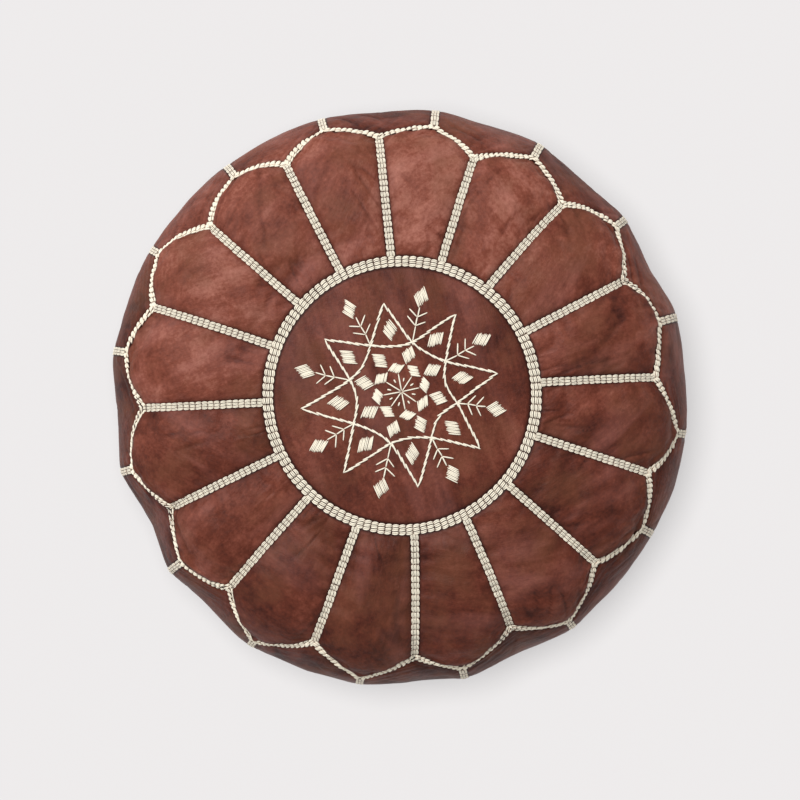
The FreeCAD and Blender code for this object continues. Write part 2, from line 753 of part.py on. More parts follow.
def star_line_plan():
    """Plan of one bowed line of the star, from a point to the next but one, across the X axis."""
    sketch = plan_sketch("star_line_plan")
    tip = (dim("star_tip") * math.cos(math.pi / 4), dim("star_tip") * math.sin(math.pi / 4))
    node_turn = math.pi / dim("rosette_points")
    node = (dim("star_node") * math.cos(node_turn), dim("star_node") * math.sin(node_turn))
    centre_x = (tip[0]**2 + tip[1]**2 - node[0]**2 - node[1]**2) / (2 * (tip[0] - node[0]))
    radius = math.hypot(tip[0] - centre_x, tip[1])
    half = math.asin(tip[1] / radius)
    edges = []
    for sign in (-1, 1):
        edge = radius + sign * dim("thread_width") / 2
        circle = Part.Circle(Vector(centre_x, 0, 0), TOP, edge)
        edges.append(
            sketch.addGeometry(Part.ArcOfCircle(circle, math.pi - half, math.pi + half), False)
        )
        add_constraint(sketch, f"{radius} + {sign} * thread_width / 2", "Radius", edges[-1], edge)
    tie(sketch, "Coincident", edges[0], 3, edges[1], 3)
    tie(sketch, "PointOnObject", edges[0], 3, X_AXIS)
    add_constraint(sketch, str(centre_x), "DistanceX", *ORIGIN_POINT, edges[0], 3, centre_x)
    for end in (1, 2):
        line = add_line(sketch, *[arc_ends(sketch, edge)[end - 1] for edge in edges])
        tie(sketch, "Coincident", line, 1, edges[0], end)
        tie(sketch, "Coincident", line, 2, edges[1], end)
    return sketch


def build_star(cord_skin):
    """The eight-pointed star of crossing lines, as one run of thread."""
    cutter = extrude("star_line_cutter", star_line_plan(), "200", "200")
    lines = [
        turned_copy(f"star_line_{number + 1}", cutter, f"{ON_POINT} + {number} * 360 / rosette_points")
        for number in range(int(dim("rosette_points")))
    ]
    keep(raised("star_raised", cord_skin, gather("MultiFuse", "star_cutters", lines)), "rosette_star")


def barb(name, vertex, side):
    """One slanting stitch of a branch, from its stem outward."""
    slab = doc.addObject("Part::Box", name)
    bind(slab, Length="sqrt( barb_reach ^ 2 + barb_spread ^ 2 )", Width="thread_width", Height="200")
    slab.Placement = Placement(Vector(), Rotation(TOP, 0))
    lean = "atan( barb_spread / barb_reach )"
    bind(slab, Placement__Rotation__Angle=lean if side > 0 else f"-1 * {lean}")
    shift = f"thread_width / 2 * sin( {lean} )"
    bind(slab, Placement__Base__x=f"{vertex} + {shift}" if side > 0 else f"{vertex} - {shift}")
    bind(slab, Placement__Base__y=f"-1 * thread_width / 2 * cos( {lean} )", Placement__Base__z="200")
    return slab


def build_branches(cord_skin):
    """Eight stems with two pairs of barbs each, between the star's points."""
    pieces = [plan_strip("stem", "stem_start", "stem_end", "thread_width", "0", "200", "200")]
    for vertex in ("barb_inner", "barb_outer"):
        pieces += [barb(f"{vertex}_{'up' if side > 0 else 'down'}", vertex, side) for side in (1, -1)]
    one = raised("branch", cord_skin, gather("MultiFuse", "branch_cutter", pieces))
    keep(repeat_round("branch_group", one, "rosette_points", BETWEEN_POINTS), "rosette_branches")


def build_centre(cord_skin):
    """Eight long stitches and eight short ones round the middle."""
    ray = raised("ray", cord_skin, plan_strip("ray_slab", "2.6", "centre_ray", "thread_width", "0", "200", "200"))
    dash_slab = plan_strip("dash_slab", "dash_start", "dash_end", "thread_width", "0", "200", "200")
    dash = raised("dash", cord_skin, dash_slab)
    rays = repeat_round("ray_ring", ray, "rosette_points", ON_POINT)
    dashes = repeat_round("dash_ring", dash, "rosette_points", BETWEEN_POINTS)
    keep(gather("Compound", "centre_group", [rays, dashes]), "rosette_centre")


# ---------------------------------------------------------------- zip


def offset_box(name, start, length, near, far, base, height):
    """A box from its start along X, its span across Y and its height."""
    made = doc.addObject("Part::Box", name)
    bind(made, Length=length, Width=f"{far} - ( {near} )", Height=height)
    return bind(
        made, Placement__Base__x=start, Placement__Base__y=near, Placement__Base__z=base
    )


def row_of(name, source, count, pitch):
    """Copies of a piece at even steps along X."""
    row = doc.addObject("Part::Compound", name)
    copies = []
    for number in range(int(dim(count)) if count in DIMENSIONS else count):
        copy = gather("Compound", f"{name}_{number + 1:03d}", [source])
        copies.append(bind(copy, Placement__Base__x=f"{number} * {pitch}"))
    row.Links = copies
    return row


def other_side(name, source):
    """A mirror image across the XZ plane."""
    mirror = doc.addObject("Part::Mirroring", name)
    mirror.Source = source
    mirror.Normal = Vector(0, 1, 0)
    return mirror


def build_zip_rows():
    """Tapes, teeth, stitching and end stops."""
    middle = "( tape_height + tape_thick / 2 )"
    tape = offset_box(
        "tape_strip", "-1 * tape_half_length", "2 * tape_half_length", "tape_inner", "tape_outer",
        "tape_height", "tape_thick",
    )
    start = "-1 * tooth_count * tooth_pitch / 2"
    solid = offset_box(
        "tooth_block", start, "tooth_length", "tooth_inner", "tooth_outer",
        f"{middle} - tooth_thick / 2", "tooth_thick",
    )
    slot = offset_box(
        "tooth_slot", f"{start} - 1", "tooth_length + 2", "tape_inner - 0.05", "tooth_outer + 1",
        "tape_height - 0.05", "tape_thick + 0.1",
    )
    teeth = row_of("tooth_row", boolean("Cut", "tooth", solid, slot), "tooth_count", "tooth_pitch")
    stitch = offset_box(
        "zip_stitch", "-134", "stitch_length", "stitch_offset - stitch_width / 2",
        "stitch_offset + stitch_width / 2", "well_depth - cord_lift - stitch_thick", "stitch_thick",
    )
    stitches = row_of("zip_stitch_row", stitch, 60, "stitch_pitch")
    keep(tape, "zip_tape_back")
    keep(other_side("tape_mirror", tape), "zip_tape_front")
    keep(teeth, "zip_teeth_back")
    keep(other_side("tooth_mirror", teeth), "zip_teeth_front")
    both = gather("Compound", "zip_stitch_rows", [stitches, other_side("zip_stitch_mirror", stitches)])
    keep(both, "zip_stitching")
    tops = []
    for name, place in (("top_stop", "tooth_count * tooth_pitch / 2 + 0.6"),):
        block = offset_box(
            name, place, "stop_length", "tooth_inner", "tooth_outer",
            f"{middle} - tooth_thick / 2", "tooth_thick",
        )
        gap = offset_box(
            f"{name}_slot", f"{place} - 1", "stop_length + 2", "tape_inner - 0.05", "tooth_outer + 1",
            "tape_height - 0.05", "tape_thick + 0.1",
        )
        one = boolean("Cut", f"{name}_cut", block, gap)
        tops += [one, other_side(f"{name}_mirror", one)]
    keep(gather("Compound", "top_stop_pair", tops), "zip_top_stops")
    bottom = box(
        "bottom_block", "stop_length / 2", "tooth_outer", "tooth_thick", f"{middle} - tooth_thick / 2",
        f"{start} - stop_length / 2 - 0.8",
    )
    cuts = [
        offset_box(
            f"bottom_slot_{side}", f"{start} - stop_length - 2", "stop_length + 4", near, far,
            "tape_height - 0.05", "tape_thick + 0.1",
        )
        for side, near, far in (
            ("back", "tape_inner - 0.05", "tooth_outer + 1"),
            ("front", "-1 * tooth_outer - 1", "0.05 - tape_inner"),
        )
    ]
    keep(boolean("Cut", "bottom_stop_cut", bottom, gather("MultiFuse", "bottom_slots", cuts)), "zip_bottom_stop")


def build_slider():
    """The slider: two blades joined by a post, with a bridge for the pull below."""
    middle = "( tape_height + tape_thick / 2 )"
    gap = "( tooth_thick / 2 + slider_play )"
    blade = "slider_blade"
    lower = f"{middle} - {gap} - {blade}"
    half_length, half_width = "slider_half_length", "slider_half_width"
    pieces = [
        box("slider_lower", half_length, half_width, blade, lower, "slider_rest"),
        box("slider_upper", half_length, half_width, blade, f"{middle} + {gap}", "slider_rest"),
        box("slider_post", "2", "post_width / 2", f"2 * {gap} + {blade}", f"{lower} + {blade} / 2", "slider_rest"),
    ]
    for side, near, far in (
        ("back", f"{half_width} - slider_lip", half_width),
        ("front", f"-1 * {half_width}", f"slider_lip - {half_width}"),
    ):
        start, length = f"slider_rest - {half_length}", f"2 * {half_length}"
        lip = "( tooth_thick / 2 + slider_play - tape_thick / 2 - 0.15 )"
        pieces.append(offset_box(f"lip_low_{side}", start, length, near, far, f"{middle} - {gap}", lip))
        pieces.append(
            offset_box(f"lip_high_{side}", start, length, near, far, f"{middle} + {gap} - {lip}", lip)
        )
    bridge = box(
        "bridge_block", "bridge_half_length", "bridge_half_width", f"bridge_drop + bridge_wall + {blade} / 2",
        f"{lower} - bridge_drop - bridge_wall", "slider_rest",
    )
    window = box(
        "bridge_window", "bridge_half_length - bridge_wall", "bridge_half_width + 1", "bridge_drop",
        f"{lower} - bridge_drop", "slider_rest",
    )
    pieces.append(boolean("Cut", "bridge", bridge, window))
    keep(gather("MultiFuse", "slider_solid", pieces), "zip_slider")


def build_pull():
    """The pull: a frame whose bar passes through the bridge, and a tongue with a hole."""
    thick = "pull_thick"
    eye = "pull_eye_half_width"
    reach = "pull_eye_reach"
    frame = offset_box(
        "pull_frame", "-1 * pull_bar_radius", f"{reach} + pull_bar_radius", "-1 * pull_neck_half_width",
        "pull_neck_half_width", f"-1 * {thick} / 2", thick,
    )
    hole = offset_box(
        "pull_window", "-2", f"{reach} + 1.2", f"-1 * {eye}", eye, f"-1 * {thick}", f"2 * {thick}"
    )
    open_frame = boolean("Cut", "pull_open_frame", frame, hole)
    bar = doc.addObject("Part::Cylinder", "pull_bar")
    bar.Placement = Placement(Vector(), Rotation(Vector(1, 0, 0), 90))
    bind(bar, Radius="pull_bar_radius", Height=f"2 * {eye} + 1", Placement__Base__y=f"{eye} + 0.5")
    tongue = offset_box(
        "pull_tongue", f"{reach} - 0.5", f"pull_length - pull_tail_half_width - {reach} + 0.5",
        "-1 * pull_tail_half_width", "pull_tail_half_width", f"-1 * {thick} / 2", thick,
    )
    tail = cylinder("pull_tail", "pull_tail_half_width", thick, f"-1 * {thick} / 2")
    bind(tail, Placement__Base__x="pull_length - pull_tail_half_width")
    drill = cylinder("pull_drill", "pull_hole_radius", f"2 * {thick}", f"-1 * {thick}")
    bind(drill, Placement__Base__x="pull_length - pull_tail_half_width")
    solid = gather("MultiFuse", "pull_solid", [open_frame, bar, tongue, tail])
    flat = boolean("Cut", "pull_flat", solid, drill)
    pull = gather("Compound", "pull_placed", [flat])
    pull.Placement = Placement(Vector(), Rotation(Vector(0, 1, 0), 0))
    bind(
        pull,
        Placement__Rotation__Angle="pull_rest_angle",
        Placement__Base__x="slider_rest",
        Placement__Base__z="tape_height + tape_thick / 2 - tooth_thick / 2 - slider_play"
        " - slider_blade - bridge_drop / 2",
    )
    keep(pull, "zip_pull")


def export_nodes():
    """Checks every object and writes each sub-part to its own file."""
    doc.recompute()
    for thing in doc.Objects:
        for word in ("Invalid", "Error"):
            if word in thing.State:
                raise RuntimeError(f"{thing.Name}: {thing.State}")
    os.makedirs("parts", exist_ok=True)
    for node in nodes:
        if node.Shape.isNull() or not node.Shape.isValid() or not node.Shape.Solids:
            raise RuntimeError(f"{node.Label}: bad shape")
        node.Shape.exportStep(f"parts/{node.Label}.step")
    print(len(nodes), "sub-parts written")


def build():
    """Builds the whole pouf."""
    thickness = dim("leather_thick")
    skin = drum_shell("leather_skin", (-thickness, "-1 * leather_thick"), (0.0, "0"))
    lift, top = dim("cord_lift"), dim("cord_lift") + dim("cord_height")
    cord_skin = drum_shell("cord_skin", (lift, "cord_lift"), (top, "cord_lift + cord_height"))
    doc.recompute()
    build_top_leather(skin)
    build_side_leather(skin)
    build_base(skin)
    build_filling()
    build_ring_cords()
    build_spoke_cords(cord_skin)
    build_side_cords(cord_skin)
    build_scallop_cords(cord_skin)
    build_lozenges(cord_skin)
    build_star(cord_skin)
    build_branches(cord_skin)
    build_centre(cord_skin)
    build_zip_rows()
    build_slider()
    build_pull()
    export_nodes()


build()
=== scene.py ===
"""Leather pouf: the detailed visual model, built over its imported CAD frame.

The leather cover is one grid that follows the sewn pattern: columns run outward from the middle and down the
side, and rows run round. Each panel is cut from that grid, and every stitch is laid on its surface.
"""

import math
import random
from collections import namedtuple

import bpy
import numpy as np
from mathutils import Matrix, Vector, noise
from mathutils.bvhtree import BVHTree
from numpy.linalg import norm


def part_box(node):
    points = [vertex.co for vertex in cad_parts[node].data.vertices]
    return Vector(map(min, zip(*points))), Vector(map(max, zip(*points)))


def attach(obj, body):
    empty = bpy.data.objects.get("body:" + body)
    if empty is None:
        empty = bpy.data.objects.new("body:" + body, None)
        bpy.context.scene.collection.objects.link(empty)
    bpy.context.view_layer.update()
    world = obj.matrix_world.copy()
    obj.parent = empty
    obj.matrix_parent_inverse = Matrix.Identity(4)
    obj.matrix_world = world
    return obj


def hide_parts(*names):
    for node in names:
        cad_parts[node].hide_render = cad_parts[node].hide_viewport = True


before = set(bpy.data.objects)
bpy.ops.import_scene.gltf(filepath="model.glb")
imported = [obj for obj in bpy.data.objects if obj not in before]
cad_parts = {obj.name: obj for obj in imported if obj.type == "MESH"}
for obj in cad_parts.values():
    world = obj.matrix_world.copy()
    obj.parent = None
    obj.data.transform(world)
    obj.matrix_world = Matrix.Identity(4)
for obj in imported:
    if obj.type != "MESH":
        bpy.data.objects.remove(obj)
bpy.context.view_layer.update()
scene = bpy.context.scene

MM = 0.001
rng = random.Random(16)

# the drum's outline, as in the frame: radii of its four arcs, and where they stand
HEIGHT = 318.3 * MM
RADIUS = 263.3 * MM
CROWN = 1000 * MM
SHOULDER = 80 * MM
BELLY = 600 * MM
BELLY_HEIGHT = 195 * MM
HEEL = 75 * MM

# the sewn pattern
PETALS = 16
STEP = 360 / PETALS
SPOKE_TURN = 3.9
RING = 119.8 * MM
RING_SHIFT = (2.9 * MM, 1.5 * MM)
BASE_SEAM_HEIGHT = 8 * MM
VALLEY = 231.5 * MM
TIP = 252.5 * MM

# hand-sewn unevenness, one value to a seam from +X round: leans in degrees, reaches in millimetres
SPOKE_LEAN = (1.5, 1, 2.8, 2.2, 0.6, 0.1, -0.5, -2.4, -1, -0.5, -1.5, -0.5, 1.3, 1.2, 1, 1.8)
VALLEY_LEAN = (0.5, 1, 0.8, 1.2, 0.5, -0.5, -1, -1.5, -1.5, -0.5, -0.5, -0.5, -0.5, -0.5, 1, 1.7)
VALLEY_REACH = (0, -2, -4, -6, 5, 1, -3, 4, 0, -1, -1, 2, 4, 1, 0, 2)
TIP_LEAN = (1, 0.5, 0.5, 0, 0.5, -1, -1, -2, 0, -0.5, -1, -0.5, -2, -0.5, 1.5, 0)
TIP_REACH = (-8.5, -3, -5, -7, -3, -4.5, 1, -3.5, -3, -6, 5, 4, -1, 2, -3, 1)

# how far each half of a scallop bows out, in millimetres, before and after its tip
BOW_BEFORE = (0, 1.5, 3, 2, 1.5, 2.5, 4, 2.5, 4.5, 0, 2.5, 1.5, 0, 1.5, 2, 2.5)
BOW_AFTER = (4.8, 4.4, 1, 0.8, 3, 3.5, 2, 3, 1.5, 4, 2, 1, 2, 1.5, 2, 0.5)

# how straight each side panel is pulled between its seams, and each side panel's tone: partly its hide's dye,
# partly painted light, lighter towards the upper left where the lamps shine from and darker (painted shade)
# on the far side
PULL = (0.6, 1.5, 1.1, 0.9, 0.9, 0.4, 0.6, 0.7, 1.6, 2.3, 1.4, 0.4, 1.2, 1.7, 0.7, 0.1)
SIDE_DYE_AND_SHADE = (
    -0.02, 0.14, 0.03, -0.02, -0.04, 0.08, 0.07, -0.07, -0.22, -0.24, -0.12, -0.13, -0.23, -0.2, -0.14, -0.08
)
# each petal's tone: partly its hide's dye, partly painted light, lighter on the petals towards the upper-left
# lamps and darker (painted shade) on those away from them
PETAL_DYE_AND_SHADE = (
    0.04, 0.08, 0.14, 0.25, 0.13, 0.13, 0.18, 0.12, -0.03, 0, -0.08, -0.11, -0.1, 0.02, -0.05, -0.01
)
MEDALLION_TONE = -0.06
BASE_TONE = -0.1

# half the width of each cord band, from its seam
RING_BAND = 4.9 * MM
SPOKE_BAND = 3.7 * MM
SCALLOP_BAND = 3.0 * MM

# grid steps: across half a petal, and along the medallion, a petal and a side
HALF = 24
MEDALLION_ROWS = 48
PETAL_ROWS = 64
SIDE_ROWS = 112


# ---- the drum's surface


def outline_arcs():
    """Centre, radius, start and end angle of each arc of the outline, from the crown to the floor."""
    crown = (0.0, HEIGHT - CROWN)
    belly = (RADIUS - BELLY, BELLY_HEIGHT)
    to_crown, to_belly = CROWN - SHOULDER, BELLY - SHOULDER
    apart = math.hypot(belly[0] - crown[0], belly[1] - crown[1])
    along = (to_crown**2 - to_belly**2 + apart**2) / (2 * apart)
    aside = math.sqrt(to_crown**2 - along**2)
    ux, uz = (belly[0] - crown[0]) / apart, (belly[1] - crown[1]) / apart
    shoulder = (crown[0] + along * ux + aside * uz, crown[1] + along * uz - aside * ux)
    heel = (belly[0] + math.sqrt((BELLY - HEEL) ** 2 - (BELLY_HEIGHT - HEEL) ** 2), HEEL)
    joins = ((crown, shoulder), (belly, shoulder), (belly, heel))
    turns = [math.pi / 2, *(math.atan2(b[1] - a[1], b[0] - a[0]) for a, b in joins), -math.pi / 2]
    circles = [(crown, CROWN), (shoulder, SHOULDER), (belly, BELLY), (heel, HEEL)]
    return [(c, r, a, b) for (c, r), a, b in zip(circles, turns, turns[1:])]


def outline_table():
    """Run along the outline, radius, height and the normal's angle, at close steps."""
    rows = []
    run = 0.0
    for centre, radius, start, end in outline_arcs():
        for turn in np.linspace(start, end, 200):
            reach = centre[0] + radius * math.cos(turn)
            rows.append((run + radius * (start - turn), reach, centre[1] + radius * math.sin(turn), turn))
        run += radius * (start - end)
    return np.array(rows).T


RUN, REACH, RISE, TURN = outline_table()
WIDEST = int(np.argmax(REACH))


def run_at_reach(reach):
    """Run along the outline at a distance from the axis, on the upper part."""
    return np.interp(reach, REACH[:WIDEST], RUN[:WIDEST])


def surface(run, degrees, lift=0.0):
    """Points of the drum at a run and an angle, lifted along the normal. Takes numbers or arrays."""
    turn = np.interp(run, RUN, TURN)
    reach = np.interp(run, RUN, REACH) + lift * np.cos(turn)
    rise = np.interp(run, RUN, RISE) + lift * np.sin(turn)
    angle = np.radians(degrees)
    return np.stack([reach * np.cos(angle), reach * np.sin(angle), rise], axis=-1)


def normal(run, degrees):
    """Outward normals of the drum."""
    turn = np.interp(run, RUN, TURN)
    angle = np.radians(degrees)
    return np.stack([np.cos(turn) * np.cos(angle), np.cos(turn) * np.sin(angle), np.sin(turn)], axis=-1)


RING_RUN = run_at_reach(RING)
BASE_RUN = np.interp(-BASE_SEAM_HEIGHT, -RISE[WIDEST:], RUN[WIDEST:])


# ---- the sewn pattern


def mix(a, b, t):
    """Blends from a to b."""
    return a + (b - a) * t


def ease(t):
    """Smooth step from 0 to 1."""
    t = np.clip(t, 0, 1)
    return t * t * (3 - 2 * t)


def seam_angle(number, leans, ahead=0.0, share=1.0):
    """Angle of a seam that lies so many petals ahead of its spoke, with a share of its own lean."""
    return SPOKE_TURN + (number + ahead) * STEP + share * leans[number % PETALS]


def scallop(number, w):
    """Angle and run of the scallop of a petal, at w from 0 to 1 across it."""
    first_half = w < 0.5
    t = w * 2 if first_half else 2 - w * 2
    valley = number if first_half else number + 1
    valley_reach = VALLEY + VALLEY_REACH[valley % PETALS] * MM
    tip_reach = TIP + TIP_REACH[number] * MM
    bow = (BOW_BEFORE if first_half else BOW_AFTER)[number] * MM
    reach = mix(valley_reach, tip_reach, t) + bow * math.sin(math.pi * t**0.8)
    angle = mix(seam_angle(valley, VALLEY_LEAN), seam_angle(number, TIP_LEAN, 0.5), t)
    return angle, run_at_reach(reach)


def column(number, w):
    """Angles at the ring, scallop and base of the column at w across a petal, and the scallop's run."""
    ring_angle = mix(seam_angle(number, SPOKE_LEAN), seam_angle(number + 1, SPOKE_LEAN), w)
    scallop_angle, scallop_run = scallop(number, w)
    neighbour = number - 1 if w < 0.5 else number + 1
    foot, next_foot = (seam_angle(n, TIP_LEAN, 0.5, 0.4) for n in (number, neighbour))
    return ring_angle, scallop_angle, mix(foot, next_foot, abs(w - 0.5)), scallop_run


def spread(count, ends):
    """Steps from 0 to 1. With ends from 0 to 1, they come closer near both ends."""
    t = np.linspace(0, 1, count + 1)
    return mix(t, (1 - np.cos(np.pi * t)) / 2, ends)


COLUMN_PLACES = np.concatenate([spread(HALF, 0.6) / 2, 0.5 + spread(HALF, 0.6)[1:-1] / 2])
PER_PETAL = 2 * HALF
COLUMNS = PETALS * PER_PETAL


def lumps(points, scale, seed):
    """Smooth noise from -1 to 1 at points."""
    shift = Vector((seed * 7.3, seed * 3.1, seed * 5.7))
    values = [noise.noise(Vector(p) * scale + shift) for p in points.reshape(-1, 3)]
    return np.array(values).reshape(points.shape[:-1])


def leather_grid():
    """Run, angle and share of the ring's offset over the whole top and side grid."""
    places = [column(k, w) for k in range(PETALS) for w in COLUMN_PLACES]
    ring, at_scallop, at_base, scallop_run = (np.array(v) for v in zip(*places))
    petal_t, side_t = spread(PETAL_ROWS, 0.7)[1:, None], spread(SIDE_ROWS, 0.7)[1:, None]
    medallion_t = 1 - (1 - np.linspace(0, 1, MEDALLION_ROWS + 1)[1:, None]) ** 1.35
    every = np.ones(COLUMNS)
    run = [
        medallion_t * RING_RUN * every,
        RING_RUN + petal_t * (scallop_run - RING_RUN),
        scallop_run + side_t * (BASE_RUN - scallop_run),
    ]
    angle = [
        np.ones_like(medallion_t) * ring,
        ring + petal_t * (at_scallop - ring),
        at_scallop + ease(side_t * 1.4) * (at_base - at_scallop),
    ]
    share = [np.ones_like(medallion_t) * every, (1 - petal_t) * every, np.zeros_like(side_t) * every]
    return np.vstack(run), np.vstack(angle), np.vstack(share)


SCALLOP_ROW = MEDALLION_ROWS + PETAL_ROWS - 1
RING_ROW = MEDALLION_ROWS - 1
LAST_ROW = MEDALLION_ROWS + PETAL_ROWS + SIDE_ROWS - 1
ACROSS = np.tile(COLUMN_PLACES, PETALS)


def pull(angle):
    """How straight the side is pulled at an angle, blended between one panel's middle and the next."""
    number = (angle - SPOKE_TURN) / STEP % PETALS
    return np.interp(number, np.arange(PETALS + 1), PULL + PULL[:1])


def stuffed_shape(run, angle):
    """Lift of the leather over the plain drum before it settles, and the small folds in it."""
    rows = np.arange(run.shape[0])[:, None]
    petal_t = np.clip((rows - RING_ROW) / PETAL_ROWS, 0, 1) * np.ones(COLUMNS)
    side_t = np.clip((rows - SCALLOP_ROW) / SIDE_ROWS, 0, 1) * np.ones(COLUMNS)
    in_petal = (rows > RING_ROW) & (rows < SCALLOP_ROW)
    in_side = rows > SCALLOP_ROW
    from_spoke = np.sin(np.pi * ACROSS)
    from_seam = np.abs(np.cos(np.pi * ACROSS))
    pillow = 3.4 * MM * from_spoke**0.8 * np.sin(np.pi * petal_t) ** 0.6 * in_petal
    flat = -5.2 * MM * from_seam * pull(angle) * np.sin(np.pi * np.clip(side_t * 1.05 + 0.12, 0, 1)) ** 0.7
    crown_flat = -2.5 * MM * (1 - from_spoke) * pull(angle) * ease(petal_t * 2 - 1) * in_petal
    side_pillow = 2.2 * MM * from_seam**0.5 * np.sin(np.pi * side_t) ** 0.5
    base = surface(run, angle)
    soft = 1.5 * MM * lumps(base, 14, 1) + 0.6 * MM * lumps(base, 38, 2)
    hold = np.ones_like(run)
    hold[: RING_ROW + 1] = 0.25
    fade = np.clip((LAST_ROW - rows) / 18, 0, 1)
    small = wrinkles(run, angle, in_petal, in_side) * fade
    return (pillow + crown_flat + (flat + side_pillow) * in_side + soft * hold) * fade + small, small


def wrinkles(run, angle, in_petal, in_side):
    """Small folds drawn in by the stitches: along the scallops, the spokes and the side seams."""
    around = np.radians(angle) * np.interp(run, RUN, REACH)
    from_scallop = np.abs(run - run[SCALLOP_ROW])
    petal_width = math.radians(STEP) * np.interp(run, RUN, REACH)
    from_spoke = np.minimum(ACROSS, 1 - ACROSS) * petal_width
    from_side_seam = np.abs(ACROSS - 0.5) * petal_width
    scallop_folds = folds(around, from_scallop, 6.5 * MM, 16 * MM, 1.8 * MM, 3) * (in_petal * 0.8 + in_side)
    spoke_folds = folds(run, from_spoke, 8 * MM, 13 * MM, 0.9 * MM, 5) * in_petal
    side_folds = folds(run, from_side_seam, 11 * MM, 20 * MM, 1.1 * MM, 7) * in_side
    return scallop_folds + spoke_folds + side_folds - drag_lines(run, angle, in_side) * (in_petal | in_side)


def drag_lines(run, angle, in_side):
    """Thin creases that cross each panel here and there, at the panel's own slant."""
    number = (np.arange(COLUMNS) + HALF * in_side) // PER_PETAL % PETALS
    slant = 0.5 + np.sin(2.3 * number)
    around = np.radians(angle) * RADIUS
    with_it = run * np.cos(slant) + around * np.sin(slant)
    over_it = around * np.cos(slant) - run * np.sin(slant)
    long_way = np.stack([with_it / 0.075, over_it / 0.017, 9.0 * number], axis=-1)
    patchy = np.stack([with_it / 0.05, over_it / 0.05, 5.0 * number], axis=-1)
    line = 1 - 7 * np.abs(lumps(long_way, 1, 11))
    return 1.1 * MM * np.clip(line, 0, 1) * np.clip(2.5 * lumps(patchy, 1, 13), 0, 1)


def folds(along, away, pitch, reach, height, seed):
    """Ridges square to a seam, uneven in size and place, that fade away from it."""
    where = np.stack([along / pitch, away / (3.5 * pitch), np.full_like(along, seed)], axis=-1)
    return height * lumps(where, 1, seed) * np.exp(-away / reach)


run_grid, angle_grid, share_grid = leather_grid()
lift_grid, FOLDS = stuffed_shape(run_grid, angle_grid)
POINTS = surface(run_grid, angle_grid, lift_grid) + np.array([*RING_SHIFT, 0.0]) * share_grid[..., None]
NORMALS = normal(run_grid, angle_grid)


def cut(grid, rows, columns):
    """The values of a grid at some rows and columns, in one list. Columns are counted round."""
    return grid[np.ix_(np.asarray(rows), np.asarray(columns) % COLUMNS)].reshape(-1, *grid.shape[2:])


# ---- materials


class Look:
    """A node material. Its methods add nodes and give back the socket that carries what they make."""

    def __init__(self, name, constants):
        self.material = bpy.data.materials.new(name)
        self.material.use_nodes = True
        self.shader = self.material.node_tree.nodes["Principled BSDF"]
        for socket, value in constants.items():
            self.shader.inputs[socket].default_value = value

    def add(self, kind, **values):
        """A node with its properties and, by socket name, its input values."""
        node = self.material.node_tree.nodes.new(kind)
        for key, value in values.items():
            if hasattr(node, key):
                setattr(node, key, value)
            else:
                node.inputs[key].default_value = value
        return node

    def link(self, output, target):
        """Joins an output socket to an input socket, or to the shader's socket of that name."""
        if isinstance(target, str):
            target = self.shader.inputs[target]
        self.material.node_tree.links.new(output, target)

    def place(self, stretch=(1, 1, 1), hide=None):
        """Object coordinates, stretched. With a hide attribute, each panel has its own direction."""
        mapping = self.add("ShaderNodeMapping", Scale=stretch)
        self.link(self.add("ShaderNodeTexCoord").outputs["Object"], mapping.inputs["Vector"])
        if hide is not None:
            mapping.vector_type = "TEXTURE"
            turn = self.add("ShaderNodeCombineXYZ")
            self.link(hide, turn.inputs["Z"])
            self.link(turn.outputs["Vector"], mapping.inputs["Rotation"])
        return mapping.outputs["Vector"]

    def attribute(self, name):
        """A value painted on the mesh."""
        return self.add("ShaderNodeAttribute", attribute_name=name).outputs["Fac"]

    def texture(self, kind, vector, **values):
        """A texture node of some kind over a vector."""
        node = self.add(f"ShaderNodeTex{kind}", **values)
        self.link(vector, node.inputs["Vector"])
        return node

    def noise(self, vector, scale, detail, rough, hide=None):
        """A noise value. With a hide attribute, each panel has its own."""
        node = self.texture("Noise", vector, Scale=scale, Detail=detail, Roughness=rough)
        if hide is not None:
            node.noise_dimensions = "4D"
            self.link(hide, node.inputs["W"])
        return node.outputs["Fac"]

    def ramp(self, value, *stops):
        """A colour ramp over a value. Each stop is a place and a colour."""
        node = self.add("ShaderNodeValToRGB")
        elements = node.color_ramp.elements
        while len(elements) < len(stops):
            elements.new(0.5)
        for element, (at, colour) in zip(elements, stops):
            element.position = at
            element.color = (*colour, 1)
        self.link(value, node.inputs["Fac"])
        return node.outputs["Color"]

    def patches(self, vector, scale, hide, low, high):
        """Soft-edged patches: 0 outside them and 1 inside."""
        return self.ramp(self.noise(vector, scale, 3, 0.6, hide), (low, BLACK), (high, WHITE))

    def maths(self, operation, first, second):
        """A Math node. Each side is a socket or a number."""
        node = self.add("ShaderNodeMath", operation=operation)
        for side, value in enumerate((first, second)):
            if isinstance(value, (int, float)):
                node.inputs[side].default_value = value
            else:
                self.link(value, node.inputs[side])
        return node.outputs[0]

    def times(self, first, second):
        """The product of two values."""
        return self.maths("MULTIPLY", first, second)

    def weighted(self, *terms, base=0.0):
        """The sum of a base and of values times their weights."""
        total = base
        for value, weight in terms:
            total = self.maths("ADD", self.times(value, weight), total)
        return total

    def tinted(self, colour, share, tint):
        """A colour with a share of a tint mixed in."""
        node = self.add("ShaderNodeMix", data_type="RGBA")
        self.link(share, node.inputs[0])
        self.link(colour, node.inputs[6])
        node.inputs[7].default_value = (*tint, 1)
        return node.outputs[2]

    def bump(self, *layers):
        """Stacks bump layers on the shader, each a height socket, a strength and a distance."""
        last = None
        for height, strength, distance in layers:
            node = self.add("ShaderNodeBump", Strength=strength, Distance=distance)
            self.link(height, node.inputs["Height"])
            if last is not None:
                self.link(last, node.inputs["Normal"])
            last = node.outputs["Normal"]
        self.link(last, "Normal")


BLACK = (0, 0, 0)
WHITE = (1, 1, 1)


